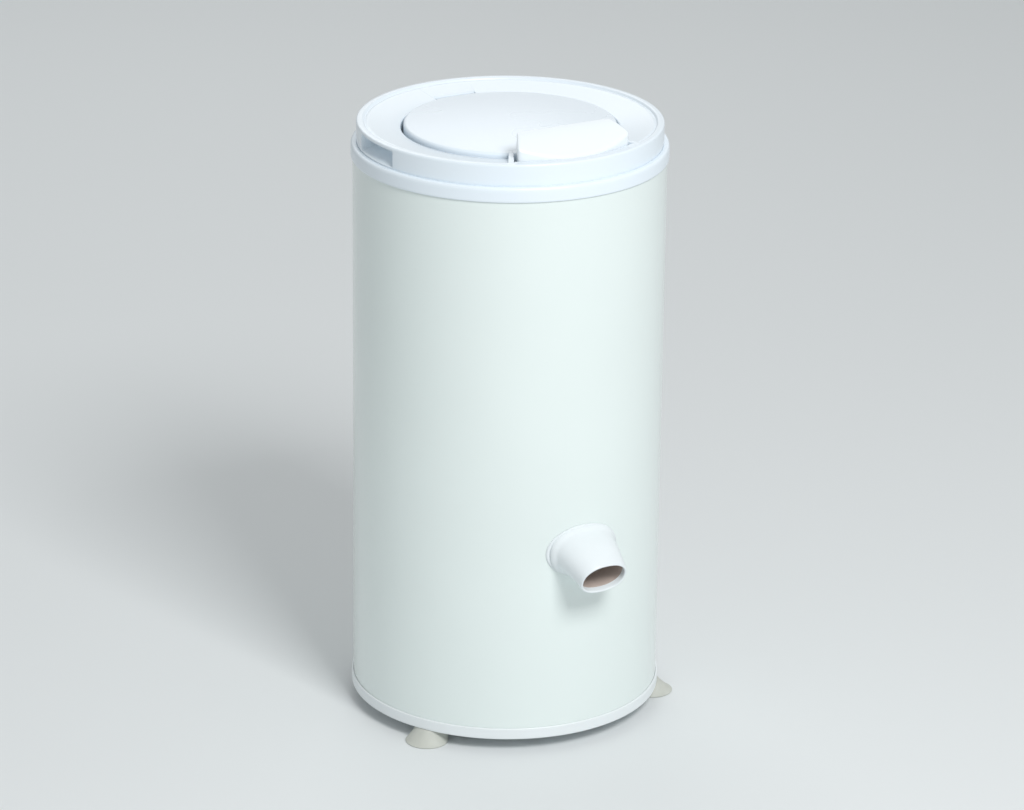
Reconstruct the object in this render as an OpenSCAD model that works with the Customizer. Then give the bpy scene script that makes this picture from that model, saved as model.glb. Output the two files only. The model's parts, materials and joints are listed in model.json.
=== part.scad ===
// Free-standing laundry spin dryer: a painted steel casing on three flared feet,
// a dished plastic top frame with a hinged lid and a lever handle, and inside it
// a tub, a perforated drum, a sprung motor and a brake.
// Millimetres. The floor is z = 0 and the drum axis is Z. The spout faces -Y.

/* [Casing] */
// Outside diameter of the painted steel casing
casing_d = 340; // [330:1:345]
// Sheet thickness of the casing
casing_wall = 1; // [0.8:0.1:1.5]
// Height of the casing's lower edge above the floor
casing_bottom = 19; // [17:0.5:22]
// Height of the casing's upper edge above the floor
casing_top = 641; // [639:0.5:642]

/* [Base and feet] */
// Outside diameter of the base rim
base_d = 344; // [342:1:350]
// Height of the rim's lower edge above the floor
base_z = 15; // [12:0.5:17]
// Height of the rim's upper edge above the floor
base_top = 27.7; // [26:0.1:32]
// Distance of each foot's middle from the drum axis
foot_reach = 166; // [160:1:170]
// Diameter of a foot where it stands
foot_d = 47; // [40:1:52]
// Diameter of a foot where it meets the base
foot_neck_d = 34; // [26:1:35]

/* [Top frame] */
// Height of the rim above the floor
rim_z = 670; // [668:0.5:674]
// Outside diameter of the top frame
frame_d = 332; // [326:1:334]
// Wall thickness of the plastic mouldings
plastic_wall = 2.5; // [2:0.1:3]
// Drop of the dished surface from the rim to the lid
dish_drop = 8.5; // [6:0.5:10]
// Half angle of the raised land in front of the lid
land_angle = 30; // [29:0.5:33]
// Half angle of each side grip
grip_angle = 11.8; // [9:0.1:13]
// Depth of each side grip
grip_depth = 19; // [12:0.5:20]

/* [Lid and handle] */
// Diameter of the lid disc
lid_d = 230; // [224:1:232]
// Rise of the lid's dome from its edge to its middle
lid_dome = 4.5; // [2:0.5:6]
// Half angle between the handle's radial sides
handle_angle = 26.5; // [24:0.5:27]
// Radius of the handle's front edge
handle_front = 152.5; // [150:0.5:153]
// Distance of the handle's rear edge from the drum axis
handle_rear = 112; // [108:0.5:116]
// Rise of the handle's rear edge above the rim
handle_rise = 24; // [18:0.5:28]

/* [Spout] */
// Height of the spout's middle on the casing
spout_z = 231; // [225:1:235]
// Height of the mouth's middle
mouth_z = 213; // [205:1:220]
// Distance of the mouth's middle from the drum axis
mouth_reach = 215; // [205:1:220]
// Width of the mouth over its walls
mouth_w = 55; // [48:1:60]
// Height of the mouth over its walls
mouth_h = 40; // [32:1:42]
// Angle by which the mouth looks down
mouth_tilt = 22; // [10:1:30]

/* [Drum and tub] */
// Outside diameter of the drum
drum_d = 250; // [240:1:252]
// Diameter of the drum's mouth
drum_mouth_d = 200; // [190:1:204]
// Height of the drum's floor
drum_z = 290; // [288:1:292]
// Height of the drum's upper edge
drum_top = 618; // [610:1:620]
// Rows of holes in the drum's wall
hole_rows = 9; // [4:1:14]
// Holes in each row
row_holes = 16; // [8:2:28]
// Diameter of a hole
hole_d = 3.8; // [3:0.1:4]

/* [Hidden] */
$fn = 72;
eps = 0.01;
gap = 0.05;                       // radial running clearance of pins and shafts
fit = 0.3;                        // gap between a moulding and the piece that it fits
casing_r = casing_d / 2;
casing_in = casing_r - casing_wall;
seam_angle = 160;
base_r = base_d / 2;
vent_r = 30;                      // round air hole in the base
frame_r = frame_d / 2;
lid_r = lid_d / 2;
t = plastic_wall;
well_r = 118;                     // wall round the lid
lip_r = 157;                      // inner line of the raised rim
mouth_r = 107;                    // loading opening
ledge_z = 646;                    // ledge under the lid seal
dish_z = rim_z - dish_drop;       // dished surface beside the lid
frame_foot = 626;                 // lower edge of the frame's skirts
land_floor = 652.5;               // floor of the cut-out under the handle
cut_angle = handle_angle + 0.9;
cut_r = handle_front + 1.5;
grip_z = 650;
lid_edge = dish_z + 5;
hinge_y = 121;
hinge_z = 657;
knuckle_r = 4;
cowl_in = 4.3;                    // inner and outer radius of the cowl over the hinge
cowl_out = 5.6;
pin_r = 2;
chord_y = 112;                    // flat on the lid's rear edge
liner_z = 640;                    // underside of the lid
tongue_z = 653.2;
tongue_t = 3;
pivot_y = -143;
pivot_z = 666;
hook_w = 14;
slider_z = 637.5;
slider_tip = -140.9;
switch_y = -132.7;                // front of the interlock switch
inlet_z = 60;                     // height of the mains inlet
gland_corner = 9.2;               // half the width of the gland's neck over its corners
tub_r = 140;
tub_in = 137;
flange_z = 627;
cover_z = 630;
spigot_z = 235.5;
spigot_r = 15;
spigot_in = 12.5;
drum_r = drum_d / 2;
drum_t = 1.2;
shaft_r = 10;
neck_r = 7.5;
nut_thread_r = 8;
motor_r = 65;
carrier_z = 70;
cap_z = 73;                       // underside of the motor
shell_z = 95;
top_cap_z = 163;
motor_top = 186;
brake_z = 196;
brake_h = 14;
brake_r = 38;
shoe_gap = 1.5;
arm_x = 47;
arm_y = 30;
buffer_r = 95;
post_top = 40;
foot_angles = [-60, 60, 180];
buffer_angles = [0, 120, 240];
column_angles = [-45, 45, 135, 225];

// ---- helpers -------------------------------------------------------------

// Points of an arc about (cx, cy), from angle a0 to angle a1
function arc(cx, cy, r, a0, a1, n = 6) =
    [for (i = [0:n]) let (a = a0 + (a1 - a0) * i / n) [cx + r * cos(a), cy + r * sin(a)]];

// Puts its children at angle a from the front and radius r
module at(a, r = 0, z = 0) {
    rotate([0, 0, a]) translate([0, -r, z]) children();
}

// Turns a profile in (radius, height) through an angle on each side of centre
module swing(half, centre = 0) {
    rotate([0, 0, centre - 90 - half]) rotate_extrude(angle = 2 * half) children();
}

module ring(outer, inner, z0, z1) {
    difference() {
        translate([0, 0, z0]) cylinder(r = outer, h = z1 - z0);
        translate([0, 0, z0 - 1]) cylinder(r = inner, h = z1 - z0 + 2);
    }
}

module rod(r, z0, z1) {
    translate([0, 0, z0]) cylinder(r = r, h = z1 - z0);
}

// Round bar along X between x0 and x1
module bar_x(r, x0, x1, y, z) {
    translate([x0, y, z]) rotate([0, 90, 0]) cylinder(r = r, h = x1 - x0);
}

// Round bar along Y between y0 and y1
module bar_y(r, y0, y1, x, z) {
    translate([x, y1, z]) rotate([90, 0, 0]) cylinder(r = r, h = y1 - y0);
}

// Box between two corners
module block(low, high) {
    translate(low) cube(high - low);
}

// Wedge between the two radial planes at half the angle on each side of the front
module wedge(half, z0, z1) {
    reach = 260;
    translate([0, 0, z0]) linear_extrude(z1 - z0)
        polygon([[0, 0], [-reach * sin(half), -reach * cos(half)],
                 [reach * sin(half), -reach * cos(half)]]);
}

// Unit vector along v
function unit(v) = v / norm(v);

// Round tube through the points of a path; hint is a direction that the path never takes
module tube(path, r, sides = 8, hint = [1, 0, 0]) {
    n = len(path);
    rings = [for (i = [0:n - 1])
        let (a = path[max(i - 1, 0)], b = path[min(i + 1, n - 1)],
             along = unit(b - a),
             u = unit(hint - (hint * along) * along),
             v = cross(along, u))
        for (k = [0:sides - 1])
            let (q = 360 * k / sides) path[i] + r * (cos(q) * u + sin(q) * v)];
    walls = [for (i = [0:n - 2]) for (k = [0:sides - 1])
        let (k2 = (k + 1) % sides)
        for (f = [[i * sides + k, (i + 1) * sides + k, i * sides + k2],
                  [i * sides + k2, (i + 1) * sides + k, (i + 1) * sides + k2]]) f];
    first = [for (k = [1:sides - 2]) [0, k, k + 1]];
    last = [for (k = [1:sides - 2]) [0, k + 1, k] + (n - 1) * sides * [1, 1, 1]];
    polyhedron(rings, concat(walls, first, last));
}

// ---- casing, base and feet -----------------------------------------------

module outer_casing() {
    color([0.89, 0.94, 0.93]) difference() {
        union() {
            ring(casing_r, casing_in, casing_bottom, casing_top);
            // lock seam down the inside, beside the cable inlet
            swing(2.2, seam_angle) translate([casing_in - 2, casing_bottom + 16])
                square([2 + eps, casing_top - casing_bottom - 37]);
        }
        bar_y(22, -casing_r - 5, -casing_r + 30, 0, spigot_z);
        // six-sided hole, in which the cable gland can't turn
        bar_y(gland_corner + 0.1, casing_r - 12, casing_r + 12, 0, inlet_z, $fn = 6);
    }
}

module base_pan() {
    floor_t = 3;
    color([0.86, 0.86, 0.9]) difference() {
        union() {
            rotate_extrude() polygon(concat(
                [[vent_r, base_z], [base_r - 1.5, base_z]],
                arc(base_r - 1.5, base_z + 1.5, 1.5, -60, 0, 3),
                arc(base_r - 1.2, base_top - 1.2, 1.2, 0, 90, 3),
                [[casing_r + fit, base_top], [casing_r + fit, casing_bottom],
                 [casing_in - fit, casing_bottom], [casing_in - fit, base_top + 4],
                 [casing_in - 3, base_top + 4], [casing_in - 3, base_z + floor_t],
                 [vent_r, base_z + floor_t]]));
            for (a = buffer_angles) at(a, buffer_r) rod(18, base_z, post_top);
            for (a = foot_angles) at(a, foot_reach - 10) rod(9, base_z, base_z + 14);
        }
        for (a = buffer_angles) at(a, buffer_r) rod(4, base_z - 1, post_top + 1);
        for (a = foot_angles) at(a, foot_reach - 10) rod(3, base_z - 1, base_z + 20);
        // slots for cooling air
        for (i = [0:11]) rotate([0, 0, 15 + 30 * i]) translate([124, -3, base_z - 1])
            cube([24, 6, floor_t + 2]);
    }
}

// Flared foot: a leaning cone from the floor up to the base
module foot(a) {
    neck = foot_reach - 10;
    color([0.76, 0.76, 0.71]) difference() {
        union() {
            hull() {
                at(a, foot_reach) rod(foot_d / 2 - 0.8, 0, 0.8, $fn = 32);
                at(a, foot_reach) rod(foot_d / 2, 0.8, 2.4, $fn = 32);
                at(a, neck + 3) rod(foot_neck_d / 2 + 1, 9, 9.2, $fn = 32);
            }
            hull() {
                at(a, neck + 3) rod(foot_neck_d / 2 + 1, 9, 9.2, $fn = 32);
                at(a, neck) rod(foot_neck_d / 2, base_z - 0.4, base_z, $fn = 32);
            }
        }
        at(a, neck) rod(3, 5, base_z + 1);
    }
}

module foot_front_left() { foot(foot_angles[0]); }
module foot_front_right() { foot(foot_angles[1]); }
module foot_rear() { foot(foot_angles[2]); }

module foot_screws() {
    color("silver") for (a = foot_angles) at(a, foot_reach - 10) {
        rod(3, 6, base_z + 14);
        rod(5.5, base_z + 14, base_z + 18);
    }
}

module collar_ring() {
    top = ledge_z;
    outer = base_r;
    color([0.93, 0.96, 0.98]) rotate_extrude() polygon(concat(
        [[casing_r + fit, casing_top - 11], [outer - 1, casing_top - 11]],
        arc(outer - 1, casing_top - 10, 1, -90, 0, 3),
        arc(outer - 4, top - 4, 4, 0, 90, 6),
        [[frame_r - 0.4, top], [frame_r - 0.4, casing_top - 18],
         [casing_in - fit, casing_top - 18], [casing_in - fit, casing_top + 0.2],
         [casing_r + fit, casing_top + 0.2]]));
}

// ---- top frame -----------------------------------------------------------

// Dished surface, rim, outer wall and well of the frame as one profile
function frame_profile() = concat(
    [[frame_r - t - 0.5, frame_foot], [frame_r - 0.5, frame_foot], [frame_r - 0.5, ledge_z],
     [frame_r, ledge_z + 2]],
    arc(frame_r - 2.5, rim_z - 2.5, 2.5, 0, 90),
    [[lip_r + 1.2, rim_z], [lip_r, rim_z - 1.6]],
    arc(well_r + 2, dish_z - 2, 2, 100, 180, 4),
    [[well_r, ledge_z], [mouth_r, ledge_z], [mouth_r, frame_foot],
     [mouth_r + t, frame_foot], [mouth_r + t, ledge_z - 3], [well_r + t, ledge_z - 3],
     [well_r + t, dish_z - t], [lip_r, rim_z - 4.2], [frame_r - t - 0.5, rim_z - 3]]);

// Hollow of a side grip in (radius, height)
function grip_profile() =
    [[frame_r - grip_depth, grip_z + 5], [frame_r - grip_depth, 662.8],
     [frame_r - 5, rim_z - 4.2], [frame_r + 20, rim_z - 4.2], [frame_r + 20, ledge_z],
     [frame_r + 1, ledge_z + 1.2], [frame_r - 1.5, ledge_z + 2.5]];

module top_frame() {
    color([0.93, 0.97, 1]) difference() {
        union() {
            rotate_extrude() polygon(frame_profile());
            // land in front of the lid
            swing(land_angle) polygon(concat(
                [[frame_r - t, land_floor - t], [well_r, land_floor - t]],
                arc(well_r + 1.5, rim_z - 1.7, 1.5, 180, 90, 3),
                [[frame_r - t, rim_z - 0.2]]));
            // walls round each grip
            for (a = [-90, 90]) swing(grip_angle + 1, a) polygon(
                [[frame_r - grip_depth - t, ledge_z + 1], [frame_r - grip_depth - t, 665],
                 [frame_r - 2, rim_z - 3], [frame_r - 2, ledge_z + 1]]);
            // columns that the tub is screwed to
            for (a = column_angles) at(a, lip_r) rod(5, cover_z, rim_z - 4);
            // seat of the hinge bracket
            block([-27, 112, ledge_z - 3], [27, 130, dish_z - 1]);
        }
        // cut-out that takes the lid's tongue and the handle
        swing(cut_angle) polygon([[90, land_floor], [cut_r, land_floor],
                                  [cut_r, rim_z + 30], [90, rim_z + 30]]);
        swing(cut_angle) polygon([[cut_r + t, land_floor - 9], [cut_r + t, rim_z - 3],
                                  [frame_r - t - fit, rim_z - 3],
                                  [frame_r - t - fit, land_floor - 9]]);
        block([-hook_w / 2 - 3, -152, 640], [hook_w / 2 + 3, -129, 660]);
        // side grips
        for (a = [-90, 90]) swing(grip_angle, a) polygon(grip_profile());
        for (a = column_angles) at(a, lip_r) rod(2, cover_z - 1, cover_z + 22);
        // notch for the hinge knuckles, and the bracket's screw holes
        block([-24.5, 104, ledge_z], [24.5, 127.5, rim_z + 10]);
        for (x = [-18, 18]) translate([x, 122, 0]) rod(1.5, ledge_z - 4, ledge_z + 1);
        // the loading opening and the well stay free of the land and the seat
        rod(well_r, ledge_z, rim_z + 10);
        rod(mouth_r, frame_foot - 10, ledge_z + 5);
    }
}

module frame_screws() {
    color("silver") for (a = column_angles) at(a, lip_r) {
        rod(2, flange_z - 1, cover_z + 20);
        rod(4.5, flange_z - 4, flange_z);
    }
}

module hinge_bracket() {
    color("silver") difference() {
        union() {
            block([-24, 119, ledge_z], [24, 126, ledge_z + 2]);
            for (s = [-1, 1]) {
                x0 = s > 0 ? 12 : -23.8;
                bar_x(knuckle_r, x0, x0 + 11.8, hinge_y, hinge_z);
                block([x0, hinge_y - 2, ledge_z + 2], [x0 + 11.8, hinge_y + 2, hinge_z - 1]);
            }
        }
        bar_x(pin_r, -30, 30, hinge_y, hinge_z);
    }
}

module hinge_pin() {
    color("silver") {
        bar_x(pin_r, -23.8, 23.8, hinge_y, hinge_z);
    }
}

module strike_plate() {
    color("silver") difference() {
        block([-14, -153.5, cover_z + 2.5], [14, -150.8, land_floor - t]);
        block([-9, -160, 631], [9, -140, 639.5]);
    }
}

// ---- safety interlock ----------------------------------------------------

module interlock_housing() {
    color([0.25, 0.27, 0.3]) difference() {
        union() {
            block([-14, switch_y, cover_z + 2.5], [14, -113.8, 642.5]);
            block([-14, switch_y, 642], [14, -123, land_floor - t]);
        }
        bar_y(pin_r + gap, -140, -115, 0, slider_z);
    }
}

module interlock_slider() {
    color("white") bar_y(pin_r, slider_tip, -124, 0, slider_z);
}

// ---- lid -----------------------------------------------------------------

// Domed surface of the lid from its middle to its rounded edge
function lid_top(drop = 0) = [for (i = [0:8]) let (r = (lid_r - 3) * i / 8)
    [r, lid_edge + lid_dome * (1 - pow(r / (lid_r - 3), 2)) - drop]];

module lid_cover() {
    n = len(lid_top());
    under = lid_top(t);
    color([0.94, 0.98, 1]) {
        difference() {
            union() {
                rotate_extrude() polygon(concat(
                    lid_top(), arc(lid_r - 3, lid_edge - 3, 3, 75, 0, 5),
                    [[lid_r, land_floor], [lid_r - t, land_floor], [lid_r - t, lid_edge - 3]],
                    [for (i = [n - 2:-1:0]) under[i]]));
                // wall along the rear flat
                intersection() {
                    block([-28, chord_y - t, land_floor], [28, chord_y, lid_edge - 1]);
                    rod(lid_r - 1, land_floor, lid_edge);
                }
                // tongue under the handle
                swing(handle_angle - 0.4) translate([lid_r - 1, tongue_z])
                    square([handle_front - 1.5 - lid_r, tongue_t]);
                for (s = [-1, 1]) {
                    x0 = s > 0 ? 24.5 : -28.5;
                    block([x0, pivot_y - 1.5, tongue_z + 1], [x0 + 4, pivot_y + 3.5, pivot_z]);
                    bar_x(3.5, x0, x0 + 4, pivot_y, pivot_z);
                }
            }
            bar_x(pin_r, -40, 40, pivot_y, pivot_z);
            block([-hook_w / 2 - 2, -156, 640], [hook_w / 2 + 2, -130, 660]);
            block([-40, chord_y, 600], [40, 140, 700]);
        }
        // cowl over the hinge, in (y, z)
        translate([-24, 0, 0]) rotate([90, 0, 90]) linear_extrude(48) polygon(concat(
            [[chord_y - 1, hinge_z + cowl_in], [chord_y - 1, hinge_z + cowl_out]],
            arc(hinge_y, hinge_z, cowl_out, 90, 40), arc(hinge_y, hinge_z, cowl_in, 40, 90)));
    }
}

module lid_liner() {
    top = lid_edge - 2.3;
    color([0.85, 0.9, 0.92]) difference() {
        rotate_extrude() polygon(concat(
            [[0, liner_z]], arc(96, liner_z + 5, 5, -90, -10, 4),
            [[101.8, land_floor], [lid_r - t - fit, land_floor],
             [lid_r - t - fit, land_floor + 2], [102.2, land_floor + 2],
             [103, top], [103 - t, top]],
            arc(95, liner_z + 6.5, 4, 0, -90, 4), [[0, liner_z + t]]));
        block([-40, chord_y - t - fit, 600], [40, 140, 700]);
    }
}

module lid_seal() {
    color([0.3, 0.31, 0.33]) difference() {
        rotate_extrude() polygon([[103, 650], [104.5, 646.8], [111, 646.3], [112, 648],
                                  [110.5, land_floor], [103, land_floor]]);
        block([-40, chord_y - 1, 600], [40, 140, 700]);
    }
}

module hinge_leaf() {
    color("silver") difference() {
        union() {
            bar_x(knuckle_r, -11.7, 11.7, hinge_y, hinge_z);
            block([-11.7, chord_y + 1, hinge_z - 2], [11.7, hinge_y, hinge_z + 1.5]);
            block([-11.7, chord_y, hinge_z - 4.4], [11.7, chord_y + 2, hinge_z + 4]);
        }
        bar_x(pin_r + gap, -20, 20, hinge_y, hinge_z);
    }
}

module handle_pin() {
    color("silver") bar_x(pin_r, -28.5, 28.5, pivot_y, pivot_z);
}

// Return spring wound round the handle pin
module handle_spring() {
    turns = 4;
    steps = 12;
    color("gray") tube([for (i = [0:turns * steps]) let (a = 360 * i / steps)
        [10 + 6.5 * i / (turns * steps), pivot_y + 3.3 * cos(a), pivot_z + 3.3 * sin(a)]],
        0.5, 6);
}

// ---- handle --------------------------------------------------------------

// Height of the handle's top at share s of the way from its front to its rear
function handle_top(s) = rim_z - 0.2 + handle_rise * (1 - pow(1 - s, 1.45));

// Side view of the handle in (y, z), with its top lowered by drop and its rear at y1
function handle_side(drop, y0, y1, z0) = concat(
    [[y0, z0]],
    [for (i = [0:10]) let (s = i / 10)
        [-handle_front + (handle_front - handle_rear) * s, handle_top(s) - drop]],
    [[y1, handle_top(1) - drop], [y1, z0]]);

module handle_body(r, half, drop, y0, y1, z0, apex) {
    intersection() {
        translate([-100, 0, 0]) rotate([90, 0, 90]) linear_extrude(200)
            polygon(handle_side(drop, y0, y1, z0));
        rod(r, z0 - 10, rim_z + 60);
        translate([0, -apex, 0]) wedge(half, z0 - 10, rim_z + 60);
    }
}

module lid_handle() {
    skirt = 660;
    color([0.97, 1, 1]) difference() {
        union() {
            difference() {
                handle_body(handle_front, handle_angle, 0, -handle_front, -handle_rear,
                            skirt, 0);
                handle_body(handle_front - t, handle_angle, 3, -handle_front + t, -90,
                            skirt - 5, t / sin(handle_angle));
            }
            for (s = [-1, 1]) intersection() {
                x0 = s > 0 ? 19 : -23;
                handle_body(handle_front, handle_angle, 1, -handle_front + 1, -90,
                            skirt, 0);
                block([x0, pivot_y - 5, pivot_z - 5], [x0 + 4, pivot_y + 9, 700]);
            }
        }
        bar_x(pin_r + gap, -26, 26, pivot_y, pivot_z);
        // the skirt clears the lid disc
        rod(lid_r + 2, skirt - 5, lid_edge + lid_dome + 1.5);
    }
}

module latch_hook() {
    color([0.8, 0.8, 0.82]) difference() {
        union() {
            bar_x(5, -hook_w / 2, hook_w / 2, pivot_y, pivot_z);
            block([-hook_w / 2, pivot_y - 1.5, 634], [hook_w / 2, pivot_y + 1.5, pivot_z]);
            block([-hook_w / 2, -149, 634], [hook_w / 2, pivot_y, 638]);
            intersection() {
                block([-hook_w / 2, pivot_y - 2, pivot_z], [hook_w / 2, pivot_y + 8, 700]);
                handle_body(handle_front, handle_angle, 3, -handle_front + t, -90, 660, 0);
            }
        }
        bar_x(pin_r + gap, -20, 20, pivot_y, pivot_z);
    }
}

// ---- tub and drain -------------------------------------------------------

// Outside of the tub's floor and lower bend in (radius, height)
function tub_floor() = concat([[30, 253], [tub_r - 6, 245]], arc(tub_r - 6, 251, 6, -80, 0, 4));

// Hollow of the sump, up through the tub's floor, and the way out of it
module sump_hollow() {
    block([-19, -136, 223], [19, -115, 262]);
    bar_y(spigot_in, -150, -130, 0, spigot_z);
}

module tub() {
    color([0.8, 0.84, 0.86]) difference() {
        rotate_extrude() polygon(concat(
            tub_floor(),
            [[tub_r, flange_z], [162.5, flange_z], [162.5, cover_z], [tub_in, cover_z]],
            arc(tub_in - 5, 253, 5, 0, -80, 4), [[33, 256.5], [33, 272], [30, 272]]));
        sump_hollow();
        for (a = column_angles) at(a, lip_r) rod(2, flange_z - 1, cover_z + 1);
        // hole for the brake cable
        translate([36, -147.5, 0]) rod(4.5, flange_z - 1, cover_z + 1);
    }
}

// Cup welded under the tub's floor, with the spigot that the drain sleeve fits
module drain_sump() {
    color([0.8, 0.84, 0.86]) difference() {
        union() {
            block([-22, -139, 220], [22, -112, 252]);
            bar_y(spigot_r, -147, -138, 0, spigot_z);
        }
        rotate_extrude() polygon(concat([[0, 253]], tub_floor(), [[tub_r, 280], [0, 280]]));
        sump_hollow();
    }
}

module tub_cover() {
    color([0.84, 0.88, 0.9]) rotate_extrude() polygon(
        [[111, cover_z], [146, cover_z], [146, cover_z + 2.5], [113, cover_z + 2.5],
         [113, cover_z + 11], [111, cover_z + 11]]);
}

module opening_seal() {
    color([0.3, 0.31, 0.33]) ring(111, mouth_r + t, cover_z, cover_z + 11);
}

module drain_sleeve() {
    color([0.3, 0.31, 0.33]) difference() {
        bar_y(spigot_r + 3, -158, -141, 0, spigot_z);
        bar_y(spigot_r, -160, -139, 0, spigot_z);
    }
}

// ---- spout ---------------------------------------------------------------

// Outline of the spout at share s of its length, drawn in by inset
function spout_ring(s, inset, sides = 40) =
    let (reach = casing_r - 4 + (mouth_reach - casing_r + 4) * s,
         high = spout_z - (spout_z - mouth_z) * pow(s, 1.8),
         tilt = mouth_tilt * pow(s, 1.3),
         wide = 42 - (42 - mouth_w / 2) * s - inset,
         tall = 28.5 - (28.5 - mouth_h / 2) * s - inset)
    [for (k = [0:sides - 1]) let (q = 360 * k / sides,
         x = wide * sign(cos(q)) * pow(abs(cos(q)), 0.9),
         up = tall * sign(sin(q)) * pow(abs(sin(q)), 0.9))
        [x, -(reach + up * sin(tilt)), high + up * cos(tilt)]];

// Closed solid through the spout's outlines from share s0 to share s1
module spout_loft(s0, s1, inset, sides = 40, steps = 10) {
    points = [for (i = [0:steps]) for (p = spout_ring(s0 + (s1 - s0) * i / steps, inset)) p];
    walls = [for (i = [0:steps - 1]) for (k = [0:sides - 1]) let (k2 = (k + 1) % sides)
        for (f = [[i * sides + k, (i + 1) * sides + k, i * sides + k2],
                  [i * sides + k2, (i + 1) * sides + k, (i + 1) * sides + k2]]) f];
    back = [for (k = [1:sides - 2]) [0, k, k + 1]];
    mouth = [for (k = [1:sides - 2]) [0, k + 1, k] + steps * sides * [1, 1, 1]];
    polyhedron(points, concat(walls, back, mouth));
}

module spout() {
    face_r = casing_r + 0.3;
    color([0.96, 0.98, 1]) difference() {
        union() {
            spout_loft(0, 1, 0);
            intersection() {
                ring(face_r + 2.6, face_r, 180, 280);
                translate([0, -100, spout_z]) rotate([90, 0, 0]) linear_extrude(100)
                    scale([1, 0.68]) circle(r = 47);
            }
        }
        difference() {
            spout_loft(0, 1.08, t);
            rod(face_r + 2.6, 150, 300);
        }
        rod(face_r, 150, 300);
        bar_y(spigot_in, -face_r - 9, -150, 0, spigot_z);
    }
    // pipe behind the flange
    color([0.96, 0.98, 1]) difference() {
        bar_y(spigot_r, -face_r - 1, -152, 0, spigot_z);
        bar_y(spigot_in, -face_r - 9, -150, 0, spigot_z);
    }
}

module spout_gasket() {
    color([0.3, 0.31, 0.33]) difference() {
        intersection() {
            bar_y(22, -casing_r, -163, 0, spigot_z);
            rod(casing_r - 0.1, 200, 280);
        }
        bar_y(spigot_r, -175, -160, 0, spigot_z);
    }
}

// ---- drum ----------------------------------------------------------------

module spin_drum() {
    bend = 12;
    lip = drum_mouth_d / 2;
    inner = drum_r - drum_t;
    color([0.82, 0.83, 0.85]) difference() {
        rotate_extrude() polygon(concat(
            [[nut_thread_r, drum_z]],
            arc(drum_r - bend, drum_z + bend, bend, -90, 0),
            arc(drum_r - bend, drum_top - bend, bend, 0, 90),
            arc(lip + 2.5, drum_top - 2.5, 2.5, 90, 180),
            [[lip, drum_top - 8], [lip + drum_t, drum_top - 8]],
            arc(lip + 2.5, drum_top - 2.5, 2.5 - drum_t, 180, 90),
            arc(drum_r - bend, drum_top - bend, bend - drum_t, 90, 0),
            arc(drum_r - bend, drum_z + bend, bend - drum_t, 0, -90),
            [[nut_thread_r, drum_z + drum_t]]));
        for (i = [0:hole_rows - 1]) for (k = [0:row_holes - 1])
            at((k + (i % 2) / 2) * 360 / row_holes, drum_r - 4,
               drum_z + 26 + i * (drum_top - drum_z - 52) / (hole_rows - 1))
                rotate([90, 0, 0]) cylinder(d = hole_d, h = 8, $fn = 16);
    }
}

module drum_hub() {
    color([0.75, 0.76, 0.78]) difference() {
        union() {
            rod(22, 279, drum_z);
            rod(30, drum_z - 4, drum_z);
        }
        rod(shaft_r, 270, 282);
        rod(nut_thread_r, 275, drum_z + 1);
    }
}

module hub_nut() {
    color("silver") difference() {
        union() {
            rod(15, drum_z + drum_t, drum_z + drum_t + 2);
            translate([0, 0, drum_z + drum_t + 2]) cylinder(r = 12, h = 9, $fn = 6);
        }
        rod(nut_thread_r, drum_z - 1, drum_z + 20);
    }
}

module hub_cap() {
    z0 = drum_z + drum_t;
    color([0.55, 0.6, 0.64]) rotate_extrude() polygon(concat(
        [[28, z0], [32, z0], [31, z0 + 4]], arc(12, z0 + 14, 13, 35, 90, 5),
        [[0, z0 + 27], [0, z0 + 24.5]], arc(12, z0 + 14, 10.5, 90, 35, 5), [[28, z0 + 4]]));
}

module water_slinger() {
    color([0.3, 0.31, 0.33]) {
        ring(40, shaft_r, 276, 279);
        ring(40, 37.5, 258.5, 277);
    }
}

module drive_shaft() {
    color([0.7, 0.71, 0.73]) {
        rod(neck_r, 77, 92);
        rod(9, 92, top_cap_z);
        rod(shaft_r, top_cap_z, 282);
        rod(nut_thread_r, 282, drum_z + 14);
    }
}

module motor_rotor() {
    color([0.55, 0.56, 0.58]) ring(35.8, 9, 100, 158);
}

module cooling_fan() {
    color([0.2, 0.22, 0.25]) {
        ring(13, 9, 94, 99);
        for (i = [0:7]) rotate([0, 0, 45 * i]) block([12, -1, 94], [34, 1, 99]);
    }
}

module brake_drum() {
    color([0.6, 0.61, 0.63]) {
        ring(16, shaft_r, 193, brake_z + brake_h);
        ring(brake_r, 15, brake_z, brake_z + 3);
        ring(brake_r, brake_r - 4, brake_z, brake_z + brake_h);
    }
}

// ---- motor and suspension ------------------------------------------------

module motor_carrier() {
    color([0.6, 0.62, 0.64]) difference() {
        union() {
            rod(116, carrier_z, cap_z);
            ring(116, 114, carrier_z, cap_z + 9);
        }
        rod(28, carrier_z - 1, cap_z + 1);
        for (a = buffer_angles) at(a, buffer_r) rod(4, carrier_z - 1, cap_z + 1);
        for (a = [45:90:315]) at(a, 58) rod(2.5, carrier_z - 1, cap_z + 1);
    }
}

module rubber_buffer(a) {
    color([0.15, 0.15, 0.16]) at(a, buffer_r) difference() {
        rotate_extrude() polygon(
            [[0, post_top], [16, post_top], [16, 44], [13, 55], [16, 66],
             [16, carrier_z], [0, carrier_z]]);
        rod(4, post_top - 1, carrier_z + 1);
    }
}

module buffer_front() { rubber_buffer(buffer_angles[0]); }
module buffer_right() { rubber_buffer(buffer_angles[1]); }
module buffer_left() { rubber_buffer(buffer_angles[2]); }

module buffer_bolts() {
    color("silver") for (a = buffer_angles) at(a, buffer_r) {
        rod(4, 22, cap_z);
        translate([0, 0, cap_z]) cylinder(r = 7.5, h = 5, $fn = 6);
    }
}

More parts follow.
